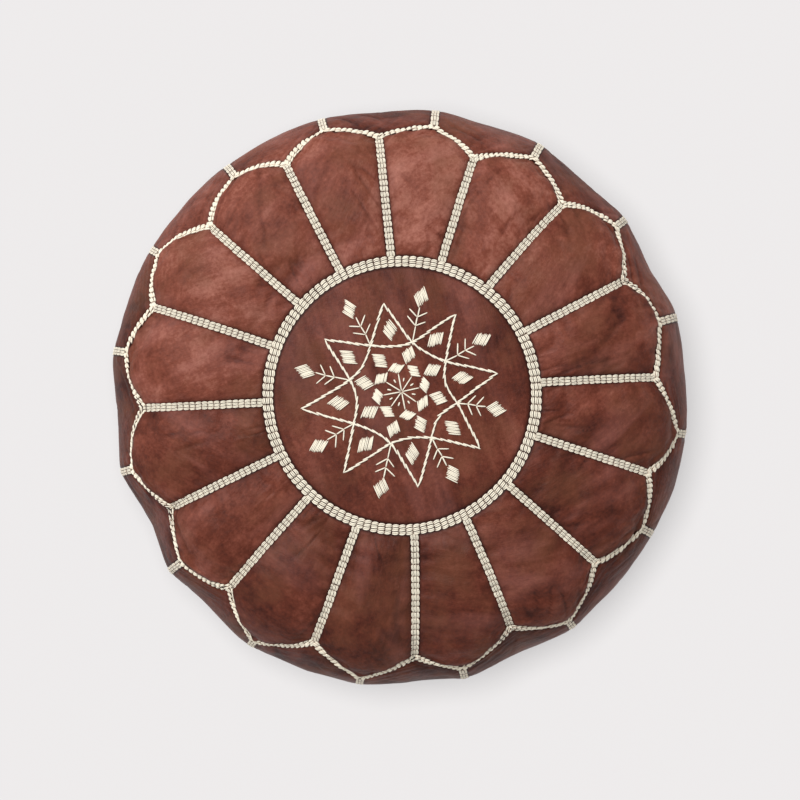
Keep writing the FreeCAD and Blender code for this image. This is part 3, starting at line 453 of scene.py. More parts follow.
def srgb(red, green, blue):
    """A colour as seen on screen, from 0 to 255, as the linear values the shader takes."""
    return tuple(((c / 255 + 0.055) / 1.055) ** 2.4 if c > 10 else c / 3295 for c in (red, green, blue))


def leather_material():
    """Hand-dyed goat leather: mottled red-brown, streaked and creased. Its colour also carries painted light:
    panel tones lighter towards the lamps, painted shade in fold dips and light on fold ridges, darkening
    beside the seams that is partly wear and partly painted shade, and a painted contact shadow beside each
    cord.
    """
    look = Look("goat_leather", {"Specular IOR Level": 0.16})
    hide, tone_and_shade, edge, groove_shade, fold_shading = (look.attribute(n) for n in ("hide", "tone_and_shade", "edge", "groove_shade", "fold_shading"))
    plain, grained = look.place(), look.place((4.5, 1, 1), hide)
    cloud = look.noise(plain, 13, 3, 0.55, hide)
    mottle = look.noise(plain, 48, 5, 0.7, hide)
    streak = look.noise(grained, 60, 5, 0.7, hide)
    speck = look.noise(plain, 330, 2, 0.6, hide)
    grain = look.weighted((cloud, 0.65), (mottle, 0.6), (streak, 0.7), (speck, 0.4), base=-0.73)
    # the panel tone includes painted light, and the small folds get painted shade in their dips and painted
    # light on their ridges
    colour = look.ramp(
        look.weighted((tone_and_shade, 1.0), (fold_shading, -0.22), base=grain),
        (0.12, srgb(60, 24, 16)),
        (0.4, srgb(98, 46, 32)),
        (0.62, srgb(128, 68, 52)),
        (0.9, srgb(172, 110, 93)),
    )
    brown = look.patches(plain, 24, hide, 0.47, 0.66)
    bloom = look.patches(grained, 30, hide, 0.5, 0.7)
    # partly wear and partly painted shade: the leather darkens within 9 mm of every seam
    seam_wear_and_shade = look.times(edge, look.times(mottle, 0.9))
    colour = look.tinted(colour, look.times(brown, 0.5), srgb(104, 62, 42))
    colour = look.tinted(colour, look.times(bloom, 0.22), srgb(158, 106, 100))
    colour = look.tinted(colour, look.times(seam_wear_and_shade, 0.75), srgb(56, 23, 19))
    # painted contact shadow: near-black in the narrow groove beside each cord band
    colour = look.tinted(colour, look.times(groove_shade, 0.88), srgb(32, 12, 10))
    look.link(colour, "Base Color")
    look.link(look.weighted((cloud, -0.2), (mottle, 0.22), base=0.5), "Roughness")
    leather_bumps(look, plain, grained, hide)
    return look.material


def leather_bumps(look, plain, grained, hide):
    """Soft folds, fine creases and pores."""
    ridged = "RIDGED_MULTIFRACTAL"
    soft = look.texture("Noise", plain, Scale=42, Detail=3, Distortion=1.6, noise_type=ridged)
    cells = look.texture("Voronoi", plain, Scale=620, feature="DISTANCE_TO_EDGE")
    look.bump(
        (soft.outputs["Fac"], 0.2, 0.0014),
        (look.noise(grained, 95, 5, 0.65, hide), 0.7, 0.0022),
        (look.noise(plain, 170, 6, 0.7, hide), 0.6, 0.0011),
        (look.ramp(cells.outputs["Distance"], (0.0, BLACK), (0.25, WHITE)), 0.2, 0.0003),
    )


def cord_material(name, light, shade_colour):
    """Twisted cotton thread, with painted light on each strand's top and painted shade at its sides and ends,
    darkest deep between strands.
    """
    look = Look(name, {"Roughness": 0.72, "Sheen Weight": 0.25, "Sheen Roughness": 0.4})
    plain = look.place()
    fibres, soil = look.noise(plain, 900, 3, 0.6), look.noise(plain, 55, 3, 0.5)
    # painted light and shade: the height attribute lights each strand's top and shades its sides and ends
    value = look.weighted((fibres, 0.3), (soil, 0.2), (look.attribute("height"), 0.75))
    look.link(look.ramp(value, (0.2, shade_colour), (0.72, light)), "Base Color")
    ply = look.add("ShaderNodeCombineXYZ")
    look.link(look.attribute("ply"), ply.inputs["X"])
    twist = look.texture("Wave", ply.outputs["Vector"], Scale=1.0, Distortion=0.6, Detail=1)
    look.bump((twist.outputs["Fac"], 0.35, 0.0002), (fibres, 0.25, 0.0001))
    return look.material


def tape_material():
    """Woven zip tape."""
    look = Look("zip_tape_weave", {"Roughness": 0.85})
    weave = look.texture("Wave", look.place(), Scale=420, bands_direction="DIAGONAL", Distortion=0.4)
    look.link(look.ramp(weave.outputs["Fac"], (0.1, srgb(38, 22, 18)), (0.9, srgb(82, 50, 40))), "Base Color")
    look.bump((weave.outputs["Fac"], 0.5, 0.0002))
    return look.material


def brass_material():
    """Aged brass with fine scratches."""
    look = Look("aged_brass", {"Metallic": 1.0})
    tarnish = look.noise(look.place(), 260, 4, 0.6)
    scratches = look.noise(look.place((1, 14, 14)), 300, 2, 0.5)
    look.link(look.ramp(tarnish, (0.3, srgb(128, 98, 52)), (0.7, srgb(205, 172, 108))), "Base Color")
    look.link(look.weighted((scratches, 0.3), base=0.18), "Roughness")
    look.bump((scratches, 0.12, 0.0001))
    return look.material


def stuffing_material():
    """Plain woven cotton of the inner bag."""
    look = Look("stuffing_cotton", {"Roughness": 0.9})
    weave = look.noise(look.place(), 700, 2, 0.5)
    look.link(look.ramp(weave, (0.3, srgb(196, 188, 170)), (0.7, srgb(232, 226, 212))), "Base Color")
    look.bump((weave, 0.3, 0.0003))
    return look.material


def floor_material():
    """Plain pale studio floor that glows a little, so shadows on it stay faint. It is clear from below."""
    constants = {
        "Base Color": (0.03, 0.029, 0.029, 1),
        "Roughness": 0.9,
        "Specular IOR Level": 0.1,
        "Emission Color": (1.0, 0.985, 0.99, 1),
        "Emission Strength": 0.285,
    }
    look = Look("studio_floor", constants)
    one_sided = look.add("ShaderNodeMixShader")
    look.link(look.add("ShaderNodeNewGeometry").outputs["Backfacing"], one_sided.inputs[0])
    look.link(look.shader.outputs[0], one_sided.inputs[1])
    look.link(look.add("ShaderNodeBsdfTransparent").outputs[0], one_sided.inputs[2])
    look.link(one_sided.outputs[0], look.material.node_tree.nodes["Material Output"].inputs["Surface"])
    return look.material


# ---- meshes


def put(name, data):
    """A new object in the scene."""
    thing = bpy.data.objects.new(name, data)
    scene.collection.objects.link(thing)
    return thing


def make_mesh(name, points, faces, material):
    """A mesh object in the scene."""
    mesh = bpy.data.meshes.new(name)
    mesh.from_pydata(np.asarray(points).tolist(), [], [list(f) for f in faces])
    mesh.materials.append(material)
    mesh.shade_smooth()
    return put(name, mesh)


def paint(thing, name, values):
    """Writes one value to a vertex of the mesh."""
    layer = thing.data.attributes.new(name, "FLOAT", "POINT")
    layer.data.foreach_set("value", np.ascontiguousarray(values, dtype=np.float32))


def grid_faces(rows, columns, closed=False):
    """Quads of a grid whose points are stored row by row, facing away from the middle."""
    span = columns if closed else columns - 1
    corners = ((0, 0), (1, 0), (1, 1), (0, 1))
    return [
        tuple((row + down) * columns + (column + along) % columns for down, along in corners)
        for row in range(rows - 1)
        for column in range(span)
    ]


def fan(middle, first, count):
    """Triangles from a middle point to a closed row of points."""
    return [(middle, first + c, first + (c + 1) % count) for c in range(count)]


def thickened(points, faces, outward, thickness):
    """A closed sheet: the outer face, an inner one behind it, and a rim between them."""
    count = len(points)
    edges = dict.fromkeys((a, b) for face in faces for a, b in zip(face, face[1:] + face[:1]))
    rim = [(a, a + count, b + count, b) for a, b in edges if (b, a) not in edges]
    inner = [tuple(v + count for v in reversed(face)) for face in faces]
    return np.vstack([points, points - outward * thickness]), faces + inner + rim


# ---- leather

THICKNESS = 1.4 * MM
SEAM_SINK = 1.5 * MM
SIDE_SEAM_SINK = 0.4 * MM

# the cloth that the leather settles as, how long it has, and the most that a point of the top may move
CLOTH = {
    "quality": 4,
    "mass": 0.4,
    "vertex_group_mass": "held",
    "tension_stiffness": 40,
    "compression_stiffness": 40,
    "shear_stiffness": 15,
    "bending_stiffness": 1.2,
    "use_pressure": True,
    "uniform_pressure_force": 1.6,
    "shrink_min": -0.018,
}
SETTLE_FRAMES = 24
SETTLE_CAP = 3 * MM
SIDE_SETTLE = 0.25


def settle(points):
    """How far each point moves as the leather settles over its stuffing as cloth, held at its seams.

    The cloth takes every second row and column of the grid, and its move is spread over the rest.
    """
    patch = points[RING_ROW::2, ::2]
    scallop_row = (SCALLOP_ROW - RING_ROW) // 2
    held = np.zeros(patch.shape[:2], bool)
    held[[0, scallop_row, -1]] = True
    held[:scallop_row, ACROSS[::2] == 0] = True
    held[scallop_row:, ACROSS[::2] == 0.5] = True
    shift = simulated(patch, held) - patch
    length = norm(shift, axis=-1, keepdims=True)
    shift *= np.minimum(1, SETTLE_CAP / np.maximum(length, 1e-9))
    shift[scallop_row:] *= SIDE_SETTLE
    full = np.zeros_like(points)
    full[RING_ROW:] = doubled(np.moveaxis(doubled(np.moveaxis(shift, 1, 0), True), 1, 0), False)
    return full


def simulated(patch, held):
    """Where the points of a grid come to rest as cloth under pressure, with some of them held."""
    thing = make_mesh("settling", patch.reshape(-1, 3), grid_faces(*patch.shape[:2], True), None)
    thing.vertex_groups.new(name="held").add(np.flatnonzero(held.ravel()).tolist(), 1.0, "REPLACE")
    cloth = thing.modifiers.new("cloth", "CLOTH")
    for name, value in CLOTH.items():
        setattr(cloth.settings, name, value)
    cloth.settings.effector_weights.gravity = 0
    cloth.collision_settings.use_collision = False
    scene.frame_start, scene.frame_end = 1, SETTLE_FRAMES
    for step in range(1, SETTLE_FRAMES + 1):
        scene.frame_set(step)
    shape = thing.evaluated_get(bpy.context.evaluated_depsgraph_get())
    moved = np.empty(patch.size)
    shape.data.vertices.foreach_get("co", moved)
    scene.frame_set(1)
    bpy.data.objects.remove(thing)
    return moved.reshape(patch.shape)


def doubled(values, closed):
    """Twice as many rows, each new one on a smooth curve between its neighbours."""
    count = len(values)
    before, ahead, after = (np.roll(values, shift, axis=0) for shift in (1, -1, -2))
    if not closed:
        before[0], ahead[-1], after[-2:] = values[0], values[-1], values[-1]
    full = np.empty((2 * count, *values.shape[1:]))
    full[0::2] = values
    full[1::2] = (9 * (values + ahead) - before - after) / 16
    return full if closed else full[:-1]


def seam_gap():
    """How far each grid point lies from the edge of the nearest cord band. It is negative under one."""
    rows = np.arange(LAST_ROW + 1)[:, None]
    in_petal, in_side = (rows >= RING_ROW) & (rows <= SCALLOP_ROW), rows >= SCALLOP_ROW
    gap = np.full(POINTS.shape[:2], 1.0)
    for row, band in ((RING_ROW, RING_BAND), (SCALLOP_ROW, SCALLOP_BAND), (LAST_ROW, 0)):
        gap = np.minimum(gap, norm(POINTS - POINTS[row], axis=-1) - band)
    for at, crossed in ((0.0, in_petal), (0.5, in_side)):
        for number in np.flatnonzero(ACROSS == at):
            away = norm(POINTS - POINTS[:, number : number + 1], axis=-1) - SPOKE_BAND
            gap = np.where(crossed, np.minimum(gap, away), gap)
    return gap


def sewn(points, gap):
    """The leather pulled down under the cord bands: well down on the top, and hardly on the taut side."""
    sink = np.interp(np.arange(LAST_ROW + 1), (SCALLOP_ROW, SCALLOP_ROW + 12), (SEAM_SINK, SIDE_SEAM_SINK))
    return points - NORMALS * (sink[:, None] * ease(1 - gap / (3 * MM)))[..., None]


def panel(name, node, rows, columns, tone_and_shade, leather, closed=False):
    """One leather panel cut from the grid, pulled down under the cords at its edges."""
    points, outward, gap, fold_shading = (cut(grid, rows, columns) for grid in (SEWN, NORMALS, GAP, FOLDS))
    faces = grid_faces(len(rows), len(columns), closed)
    if closed:
        last = len(points)
        points = np.vstack([points, points[: len(columns)].mean(axis=0)])
        outward = np.vstack([outward, (0, 0, 1)])
        gap, fold_shading = np.append(gap, 1.0), np.append(fold_shading, 0.0)
        faces += fan(last, 0, len(columns))
    points, faces = thickened(points, faces, outward, THICKNESS)
    thing = make_mesh(name, points, faces, leather)
    paint_leather(thing, np.tile(gap, 2), np.tile(fold_shading, 2), tone_and_shade, rng.uniform(0, 40))
    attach(thing, "cover")
    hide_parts(node)


def paint_leather(thing, gap, fold_shading, tone_and_shade, hide):
    """The values that the leather's material reads, one of each to a vertex."""
    # painted shade: a dark contact shadow beside each cord band, darkening near the seams that is partly wear
    # and partly shade, and shade in the dips of the small folds with painted light on their ridges
    paint(thing, "groove_shade", ease(1 - (gap - 0.2 * MM) / (1.7 * MM)))
    paint(thing, "edge", np.clip(1 - gap / (9 * MM), 0, 1) ** 1.5)
    paint(thing, "fold_shading", np.clip(-fold_shading / (1.1 * MM), -1, 1))
    paint(thing, "tone_and_shade", np.full(len(gap), tone_and_shade))
    paint(thing, "hide", np.full(len(gap), hide))


def build_leather(leather):
    """The medallion, the petals and the side panels."""
    rows = range(RING_ROW + 1)
    panel("leather_medallion", "medallion", rows, range(COLUMNS), MEDALLION_TONE, leather, True)
    kinds = (
        ("leather_petal", "petal", PETAL_DYE_AND_SHADE, range(RING_ROW, SCALLOP_ROW + 1), 0),
        ("leather_side", "side_panel", SIDE_DYE_AND_SHADE, range(SCALLOP_ROW, LAST_ROW + 1), -HALF),
    )
    for name, node, tones_and_shade, rows, shift in kinds:
        for k, tone_and_shade in enumerate(tones_and_shade):
            columns = range(k * PER_PETAL + shift, (k + 1) * PER_PETAL + shift + 1)
            panel(f"{name}_{k + 1:02d}", f"{node}_{k + 1:02d}", rows, columns, tone_and_shade, leather)


# ---- base

WELL_HALF_LENGTH = 162 * MM
WELL_HALF_WIDTH = 22 * MM
WELL_ROOF_HALF_LENGTH = 153 * MM
WELL_ROOF_HALF_WIDTH = 14.5 * MM
WELL_DEPTH = 7.0 * MM
SLIT_HALF_LENGTH = 134 * MM
SLIT_HALF_WIDTH = 7.5 * MM
BASE_THICKNESS = 1.3 * MM
BASE_HIDE = 50


def base_height(x, y):
    """Height of the base's underside at a plan point: flat, up at the heel, up into the well."""
    reach = np.hypot(x, y)
    heel = np.interp(reach, REACH[WIDEST:][::-1], RISE[WIDEST:][::-1])
    across = (WELL_HALF_WIDTH - np.abs(y)) / (WELL_HALF_WIDTH - WELL_ROOF_HALF_WIDTH)
    along = (WELL_HALF_LENGTH - np.abs(x)) / (WELL_HALF_LENGTH - WELL_ROOF_HALF_LENGTH)
    well = WELL_DEPTH * ease(np.minimum(across, along))
    wave = 0.35 * MM * np.sin(x * 95 + y * 40) * np.sin(y * 70 - x * 25)
    wave = np.abs(wave * ease((np.abs(y) - WELL_HALF_WIDTH) / 0.03)) * ease((REACH[-1] - reach) / 0.02)
    middle_seam = 1.2 * MM * np.exp(-np.abs(y) / 0.0022) * ease((np.abs(x) - WELL_HALF_LENGTH) / 0.004)
    return np.where(reach > REACH[-1], heel, wave) + well + middle_seam


def base_half(name, node, side, leather):
    """Half of the base, folded up into the well beside the zip."""
    across, along = 58, 150
    rim = np.interp(BASE_RUN, RUN, REACH)
    x = rim * np.sin(np.linspace(-math.pi / 2, math.pi / 2, along)) * 0.9995
    slit = SLIT_HALF_WIDTH * ease((SLIT_HALF_LENGTH + 1.5 * MM - np.abs(x)) / (3 * MM))
    inner = np.maximum(slit, 0.25 * MM)
    outer = np.sqrt(np.maximum(rim**2 - x**2, (0.6 * MM) ** 2))
    y = inner + np.linspace(0, 1, across)[:, None] ** 1.7 * np.maximum(outer - inner, 0)
    x = x * np.ones_like(y)
    grid = np.stack([x, side * y, base_height(x, y)], axis=-1).reshape(-1, 3)
    faces = [face[::side] for face in grid_faces(across, along)]
    points, faces = thickened(grid, faces, np.array([0.0, 0.0, -1.0]), BASE_THICKNESS)
    thing = make_mesh(name, points, faces, leather)
    to_rim = rim - np.hypot(x, y).ravel()
    paint_leather(thing, np.tile(to_rim, 2), np.zeros(len(points)), BASE_TONE, BASE_HIDE + side)
    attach(thing, "cover")
    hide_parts(node)


def build_stuffing():
    """The inner bag, kept clear inside the leather and above the zip."""
    rows, columns, inset, foot = 60, 96, 11 * MM, 14 * MM
    run = np.linspace(0.004, RUN[-1], rows)[:, None] * np.ones(columns)
    angle = np.linspace(0, 360, columns, endpoint=False) * np.ones((rows, 1))
    points = surface(run, angle, -inset).reshape(-1, 3)
    points[:, 2] = np.maximum(points[:, 2], foot)
    last = len(points)
    bottom = [(middle, b, a) for middle, a, b in fan(last + 1, last - columns, columns)]
    faces = grid_faces(rows, columns, True) + fan(last, 0, columns) + bottom
    points = np.vstack([points, [0, 0, HEIGHT - inset], [0, 0, foot]])
    thing = make_mesh("stuffing_bag", points, faces, stuffing_material())
    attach(thing, "cover")
    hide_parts("filling")


# ---- thread


class Thread:
    """Collects stitches, then makes them all into one mesh. Each is a short strand, thinner at its ends.

    The four rows give, for each ring of a strand's points: its place along the strand, its size, how far it
    sinks or rises, and how much painted light it gets, so that its ends are in painted shade.
    """

    ALONG = (0.0, 0.1, 0.34, 0.66, 0.9, 1.0)
    SIZE = (0.5, 0.86, 1.0, 1.0, 0.86, 0.5)
    SINK = (-0.55, 0.1, 0.42, 0.42, 0.1, -0.55)
    LIT = (0.3, 0.8, 1.0, 1.0, 0.8, 0.3)

    def __init__(self, sides=6):
        self.sides = sides
        self.stitches = []

    def add(self, start, end, up, width, bow=(0, 0, 0), high=0.8):
        """One stitch between two points of the surface. Bow moves its middle sideways."""
        self.stitches.append((*start, *end, *up, *bow, width, high))

    def shape(self):
        """Every strand's points, how much painted light each one gets (lit on top, painted shade at the sides
        and ends), and its place in the twist.
        """
        data = np.array(self.stitches, dtype=float)
        start, end, up, bow = (data[:, i : i + 3] for i in (0, 3, 6, 9))
        width, high = data[:, 12], data[:, 13]
        along = end - start
        length = norm(along, axis=1)
        side = np.cross(along, up)
        side /= norm(side, axis=1, keepdims=True)
        up = np.cross(side, along)
        up /= norm(up, axis=1, keepdims=True)
        turns = 2 * math.pi * (np.arange(self.sides) + 0.5) / self.sides
        rings, lit_shares, plies = [], [], []
        for t, size, sink, lit in zip(self.ALONG, self.SIZE, self.SINK, self.LIT):
            middle = start + along * t + bow * (1 - (2 * t - 1) ** 2)
            middle = middle + up * ((0.38 * high + sink * high * 0.5) * width)[:, None]
            across = side[:, None] * np.cos(turns)[:, None] * (width * size / 2)[:, None, None]
            raised = up[:, None] * np.sin(turns)[:, None] * (width * high * size / 2)[:, None, None]
            rings.append(middle[:, None] + across + raised)
            lit_shares.append(np.clip(np.sin(turns), 0, 1) * lit * np.ones((len(data), 1)))
            plies.append(length[:, None] * t * 900 + turns * 1.6)
        return (np.stack(values, axis=1) for values in (rings, lit_shares, plies))

    def faces(self):
        """The sides and two caps of every strand."""
        count, per = len(self.stitches), len(self.ALONG) * self.sides
        pattern = [(a, d, c, b) for a, b, c, d in grid_faces(len(self.ALONG), self.sides, True)]
        quads = np.array(pattern)[None] + np.arange(count)[:, None, None] * per
        ends = (range(self.sides)[::-1], range(per - self.sides, per))
        caps = [[n * per + v for v in end] for n in range(count) for end in ends]
        return quads.reshape(-1, 4).tolist() + caps

    def build(self, name, material, node):
        """Makes the mesh, rides it on the cover and lets it stand for its node."""
        points, lit_shares, plies = self.shape()
        thing = make_mesh(name, points.reshape(-1, 3), self.faces(), material)
        # painted light: lights each strand's top and shades its sides and ends
        paint(thing, "height", lit_shares.ravel())
        paint(thing, "ply", plies.ravel())
        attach(thing, "cover")
        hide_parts(node)


class Skin:
    """The finished leather, to lay stitches on."""

    def __init__(self):
        faces = grid_faces(SEWN.shape[0], COLUMNS, True)
        faces.append(tuple(range(COLUMNS)))
        self.tree = BVHTree.FromPolygons(SEWN.reshape(-1, 3).tolist(), faces)

    def lay(self, point, up):
        """The point moved along its normal onto the leather."""
        up = Vector(up)
        hit = self.tree.ray_cast(Vector(point) + up * 0.02, -up)
        return np.array(hit[0] if hit[0] is not None else self.tree.find_nearest(Vector(point))[0])


def run_along(path):
    """How far along a path each of its points is."""
    return np.concatenate([[0], np.cumsum(norm(np.diff(path, axis=0), axis=1))])


def points_at(path, run, at):
    """The points of a path at places along it."""
    return np.stack([np.interp(at, run, values) for values in path.T], axis=-1)


def even_steps(path, pitch):
    """Points at an even pitch along a path, with the direction at each, and the pitch that fits."""
    run = run_along(path)
    count = max(1, round(run[-1] / pitch))
    at = (np.arange(count) + 0.5) * run[-1] / count
    along = points_at(path, run, at + 0.3 * pitch) - points_at(path, run, at - 0.3 * pitch)
    return points_at(path, run, at), along / norm(along, axis=1, keepdims=True), run[-1] / count


def trimmed(path, head, tail):
    """The path without a length at its head and its tail."""
    run = run_along(path)
    return points_at(path, run, np.linspace(head, run[-1] - tail, max(12, len(path))))


def couch(thread, skin, path, up, pitch, row_pitch, width, skew, fill, crown=0.3 * MM, high=0.8):
    """Blocks of three rows of paired strands along a seam. up gives the normal at a point.

    Skew turns the strands of a block from the seam's line, and crown lifts the middle row.
    """
    middles, alongs, step = even_steps(path, pitch)
    for middle, along in zip(middles, alongs):
        normal_here = up(middle)
        across = np.cross(normal_here, along)
        across /= norm(across)
        size = step * fill * rng.uniform(0.95, 1.04)
        sway = rng.uniform(-0.15, 0.15) * MM
        turn = skew * rng.uniform(0.6, 1.4) * size / 2
        for row in (-1, 0, 1):
            for pair in (-0.5, 0.5):
                offset = (row + pair * 0.43) * row_pitch
                at = middle + across * (offset * 0.87 + sway) + along * rng.uniform(-0.25, 0.25) * MM
                lift = normal_here * crown * (1 - abs(row))
                start = skin.lay(at - along * size / 2 - across * turn, normal_here) + lift
                end = skin.lay(at + along * size / 2 + across * turn, normal_here) + lift
                thick, bow = width * rng.uniform(0.92, 1.06), across * offset * 0.2
                thread.add(start, end, normal_here, thick, bow, high)


def seam_of(rows, columns):
    """Points of the grid along a seam, and a function that gives the drum's normal near them."""
    path, normals = cut(POINTS, rows, columns), cut(NORMALS, rows, columns)
    return path, lambda point: normals[int(np.argmin(norm(path - point, axis=1)))]


# how each kind of seam is couched
RING_STITCHES = dict(pitch=6.3 * MM, row_pitch=3.25 * MM, width=1.45 * MM, skew=0.12, fill=0.96)
SPOKE_STITCHES = dict(pitch=5.5 * MM, row_pitch=2.45 * MM, width=1.08 * MM, skew=0.08, fill=0.98)
SCALLOP_STITCHES = dict(
    pitch=5 * MM, row_pitch=1.95 * MM, width=1.28 * MM, skew=0.32, fill=0.97, crown=0.5 * MM, high=1.15
)
SIDE_STITCHES = dict(pitch=8.6 * MM, row_pitch=2.4 * MM, width=1.16 * MM, skew=0.02, fill=0.98)
SPOKE_START = 4.4 * MM
SCALLOP_TRIM = 0.5 * MM
SIDE_START = 2.6 * MM
SIDE_FOOT = 6 * MM


def build_seam_cords(skin, cotton):
    """The couched cords over every seam of the top and the side."""
    ring, spokes, scallops, sides = Thread(), Thread(), Thread(), Thread(5)
    couch(ring, skin, *seam_of([RING_ROW], [*range(COLUMNS), 0]), **RING_STITCHES)
    for k in range(PETALS):
        start = k * PER_PETAL
        path, up = seam_of(range(RING_ROW, SCALLOP_ROW + 1), [start])
        couch(spokes, skin, trimmed(path, SPOKE_START, 0), up, **SPOKE_STITCHES)
        path, up = seam_of([SCALLOP_ROW], range(start, start + PER_PETAL + 1))
        for half in (trimmed(path[: HALF + 1], SCALLOP_TRIM, 0), trimmed(path[HALF:], 0, SCALLOP_TRIM)):
            couch(scallops, skin, half, up, **SCALLOP_STITCHES)
        path, up = seam_of(range(SCALLOP_ROW, LAST_ROW + 1), [start + HALF])
        couch(sides, skin, trimmed(path, SIDE_START, SIDE_FOOT), up, **SIDE_STITCHES)
    ring.build("ring_stitching", cotton, "ring_cords")
    spokes.build("spoke_stitching", cotton, "spoke_cords")
    scallops.build("scallop_stitching", cotton, "scallop_cords")
    sides.build("side_stitching", cotton, "side_seam_cords")


def build_base_thread(sewing):
    """The plain sewing stitches between the side panels and the base."""
    seam = Thread(5)
    count = 260
    for n in range(count):
        degrees = [n * 360 / count + d for d in (-0.5, 0.5)]
        start, end = (surface(BASE_RUN, a, 0.35 * MM) for a in degrees)
        seam.add(start, end, normal(BASE_RUN, degrees[0]), 0.9 * MM)
    seam.build("base_seam_stitching", sewing, "base_seam_thread")


def build_zip_stitching(sewing):
    """The stitches that hold the zip's tapes inside the well, on each side of the teeth."""
    low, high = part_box("zip_stitching")
    rows = Thread(5)
    count = 60
    pitch = (high[0] - low[0]) / (count - 0.25)
    z = WELL_DEPTH - 0.15 * MM
    for y in (low[1] + 0.4 * MM, high[1] - 0.4 * MM):
        for n in range(count):
            x = low[0] + n * pitch
            rows.add((x, y, z), (x + pitch * 0.74, y, z), (0, 0, -1), 0.75 * MM)
    rows.build("zip_stitch_lines", sewing, "zip_stitching")


# ---- rosette

ROSETTE_SHIFT = (0.9 * MM, 4.3 * MM)
MIDDLE_SHIFT = (1.5 * MM, 0.5 * MM)
ROSETTE_TURN = 10.9
POINTS_OF_STAR = 8
STAR_TIP = 86 * MM

# the star as it was sewn, from its first point round: how far out its points, the crossings after them and
# the waists of its lines are, in millimetres, and how far the points and crossings lean, in degrees
POINT_REACH = (88.5, 85.5, 80.5, 82, 89, 87.5, 86, 87.5)
POINT_LEAN = (0.5, -1, 0, -0.5, -1, -0.5, 0.5, -0.5)
CROSSING_REACH = (48, 45, 49.5, 46.5, 50.5, 46.5, 49, 51)
CROSSING_LEAN = (1, -1, 0, -1.5, 0.5, 0.5, 0.5, 0.5)
WAIST_REACH = (39.5, 41.5, 41, 41, 39.5, 42.5, 41.5, 39.5)


# the rings of satin-stitched lozenges: sizes in millimetres, whether they are in line with the star's points,
# the way that their strands turn, and each one's lean about the middle and turn on the spot, in degrees
Pads = namedtuple("Pads", "reach half_length half_width in_line strands_turn leans turns")
PAD_RINGS = (
    Pads(21.5, 5.2, 8.5, True, -1, (6, 3, 2, 1, 0, -1, 4, 6), (-4, -9, 8, -12, 4, 4, -3, 2)),
    Pads(33.5, 9.5, 6.8, False, 1, (1.5, 0, 1, -2, -1, -0.5, -2.5, 2), (-8, -3, 14, 6, 1, -7, -6, -7)),
    Pads(56.0, 10.9, 6.9, True, 1, (2, 0.5, -1, 0.5, -1, 0, -0.5, -0.5), (-9, -12, -4, -4, -6, -10, -7, -4)),
    Pads(86.5, 10.4, 7.1, False, 1, (-0.5, -1, -2, -1, 0, 0.5, -0.5, 1.5), (-6, -3, -10, -5, -5, 0, -5, 5)),
)
OUTER_PADS = PAD_RINGS[-1]
STRANDS_OF_PAD = 9


def polar(reach, degrees):
    """A plan place, as seen from the rosette's middle."""
    return np.array([reach * math.cos(math.radians(degrees)), reach * math.sin(math.radians(degrees))])


class Rosette:
    """Lays stitches on the medallion, between plan places seen from the rosette's middle."""

    def __init__(self, skin):
        self.skin = skin

    def spot(self, place):
        """The point of the leather under a plan place. The pattern's middle was sewn a little to one side."""
        inward = 1 - min(1, math.hypot(*place) / STAR_TIP) ** 2
        return self.skin.lay((*(place + ROSETTE_SHIFT + np.array(MIDDLE_SHIFT) * inward), HEIGHT), (0, 0, 1))

    def stitch(self, thread, start, end, width, high=0.7):
        """One straight stitch between two plan places."""
        wobble = [rng.gauss(0, 0.16) * MM for _ in range(4)]
        a, b = self.spot(start + wobble[:2]), self.spot(end + wobble[2:])
        thread.add(a, b, (0, 0, 1), width * rng.uniform(0.92, 1.08), high=high)

    def lozenge(self, thread, centre, along, across):
        """A satin-stitched lozenge. Its strands follow the edge from its inner corner to the across side."""
        corner, first, second = centre - along, along + across, along - across
        for n in range(STRANDS_OF_PAD):
            start = corner + second * ((n + 0.5) / STRANDS_OF_PAD)
            low, high = rng.uniform(-0.02, 0.08), rng.uniform(0.93, 1.04)
            self.stitch(thread, start + first * low, start + first * high, 1.34 * MM, 0.85)

    def stem_line(self, thread, path):
        """Overlapping slanting stitches along a plan path."""
        run = run_along(path)
        count = round(run[-1] / (7.4 * MM))
        pitch = run[-1] / count
        for n in range(count):
            ends = (n * pitch - rng.uniform(1.6, 2.9) * MM, (n + 1) * pitch + rng.uniform(1.6, 2.9) * MM)
            a, b = points_at(path, run, ends)
            aside = np.array([-(b - a)[1], (b - a)[0]]) / norm(b - a) * 0.85 * MM
            self.stitch(thread, a + aside, b - aside, 1.62 * MM)


def star_place(number, reaches, leans, ahead=0.0):
    """A place on the star as it was sewn, so many degrees ahead of one of its points."""
    number %= POINTS_OF_STAR
    return polar(reaches[number] * MM, ROSETTE_TURN + number * 45 + ahead + leans[number])


def star_path(number):
    """The bowed line from one point of the star, over two crossings, to the next point but one."""
    first, last = (star_place(n, POINT_REACH, POINT_LEAN) for n in (number - 1, number + 1))
    before, after = (star_place(n, CROSSING_REACH, CROSSING_LEAN, 22.5) for n in (number - 1, number))
    waist = polar(WAIST_REACH[number] * MM, ROSETTE_TURN + number * 45)
    return smooth_through([first, (first + before) / 2, before, waist, after, (after + last) / 2, last])


def smooth_through(places):
    """A smooth curve through plan places."""
    stops = np.array([2 * places[0] - places[1], *places, 2 * places[-1] - places[-2]])
    t = np.linspace(0, 1, 10, endpoint=False)[:, None]
    pieces = []
    for before, start, end, after in zip(stops, stops[1:], stops[2:], stops[3:]):
        bend = 2 * before - 5 * start + 4 * end - after
        twist = 3 * start - before - 3 * end + after
        pieces.append(start + ((end - before) * t + bend * t**2 + twist * t**3) / 2)
    return np.vstack([*pieces, places[-1]])


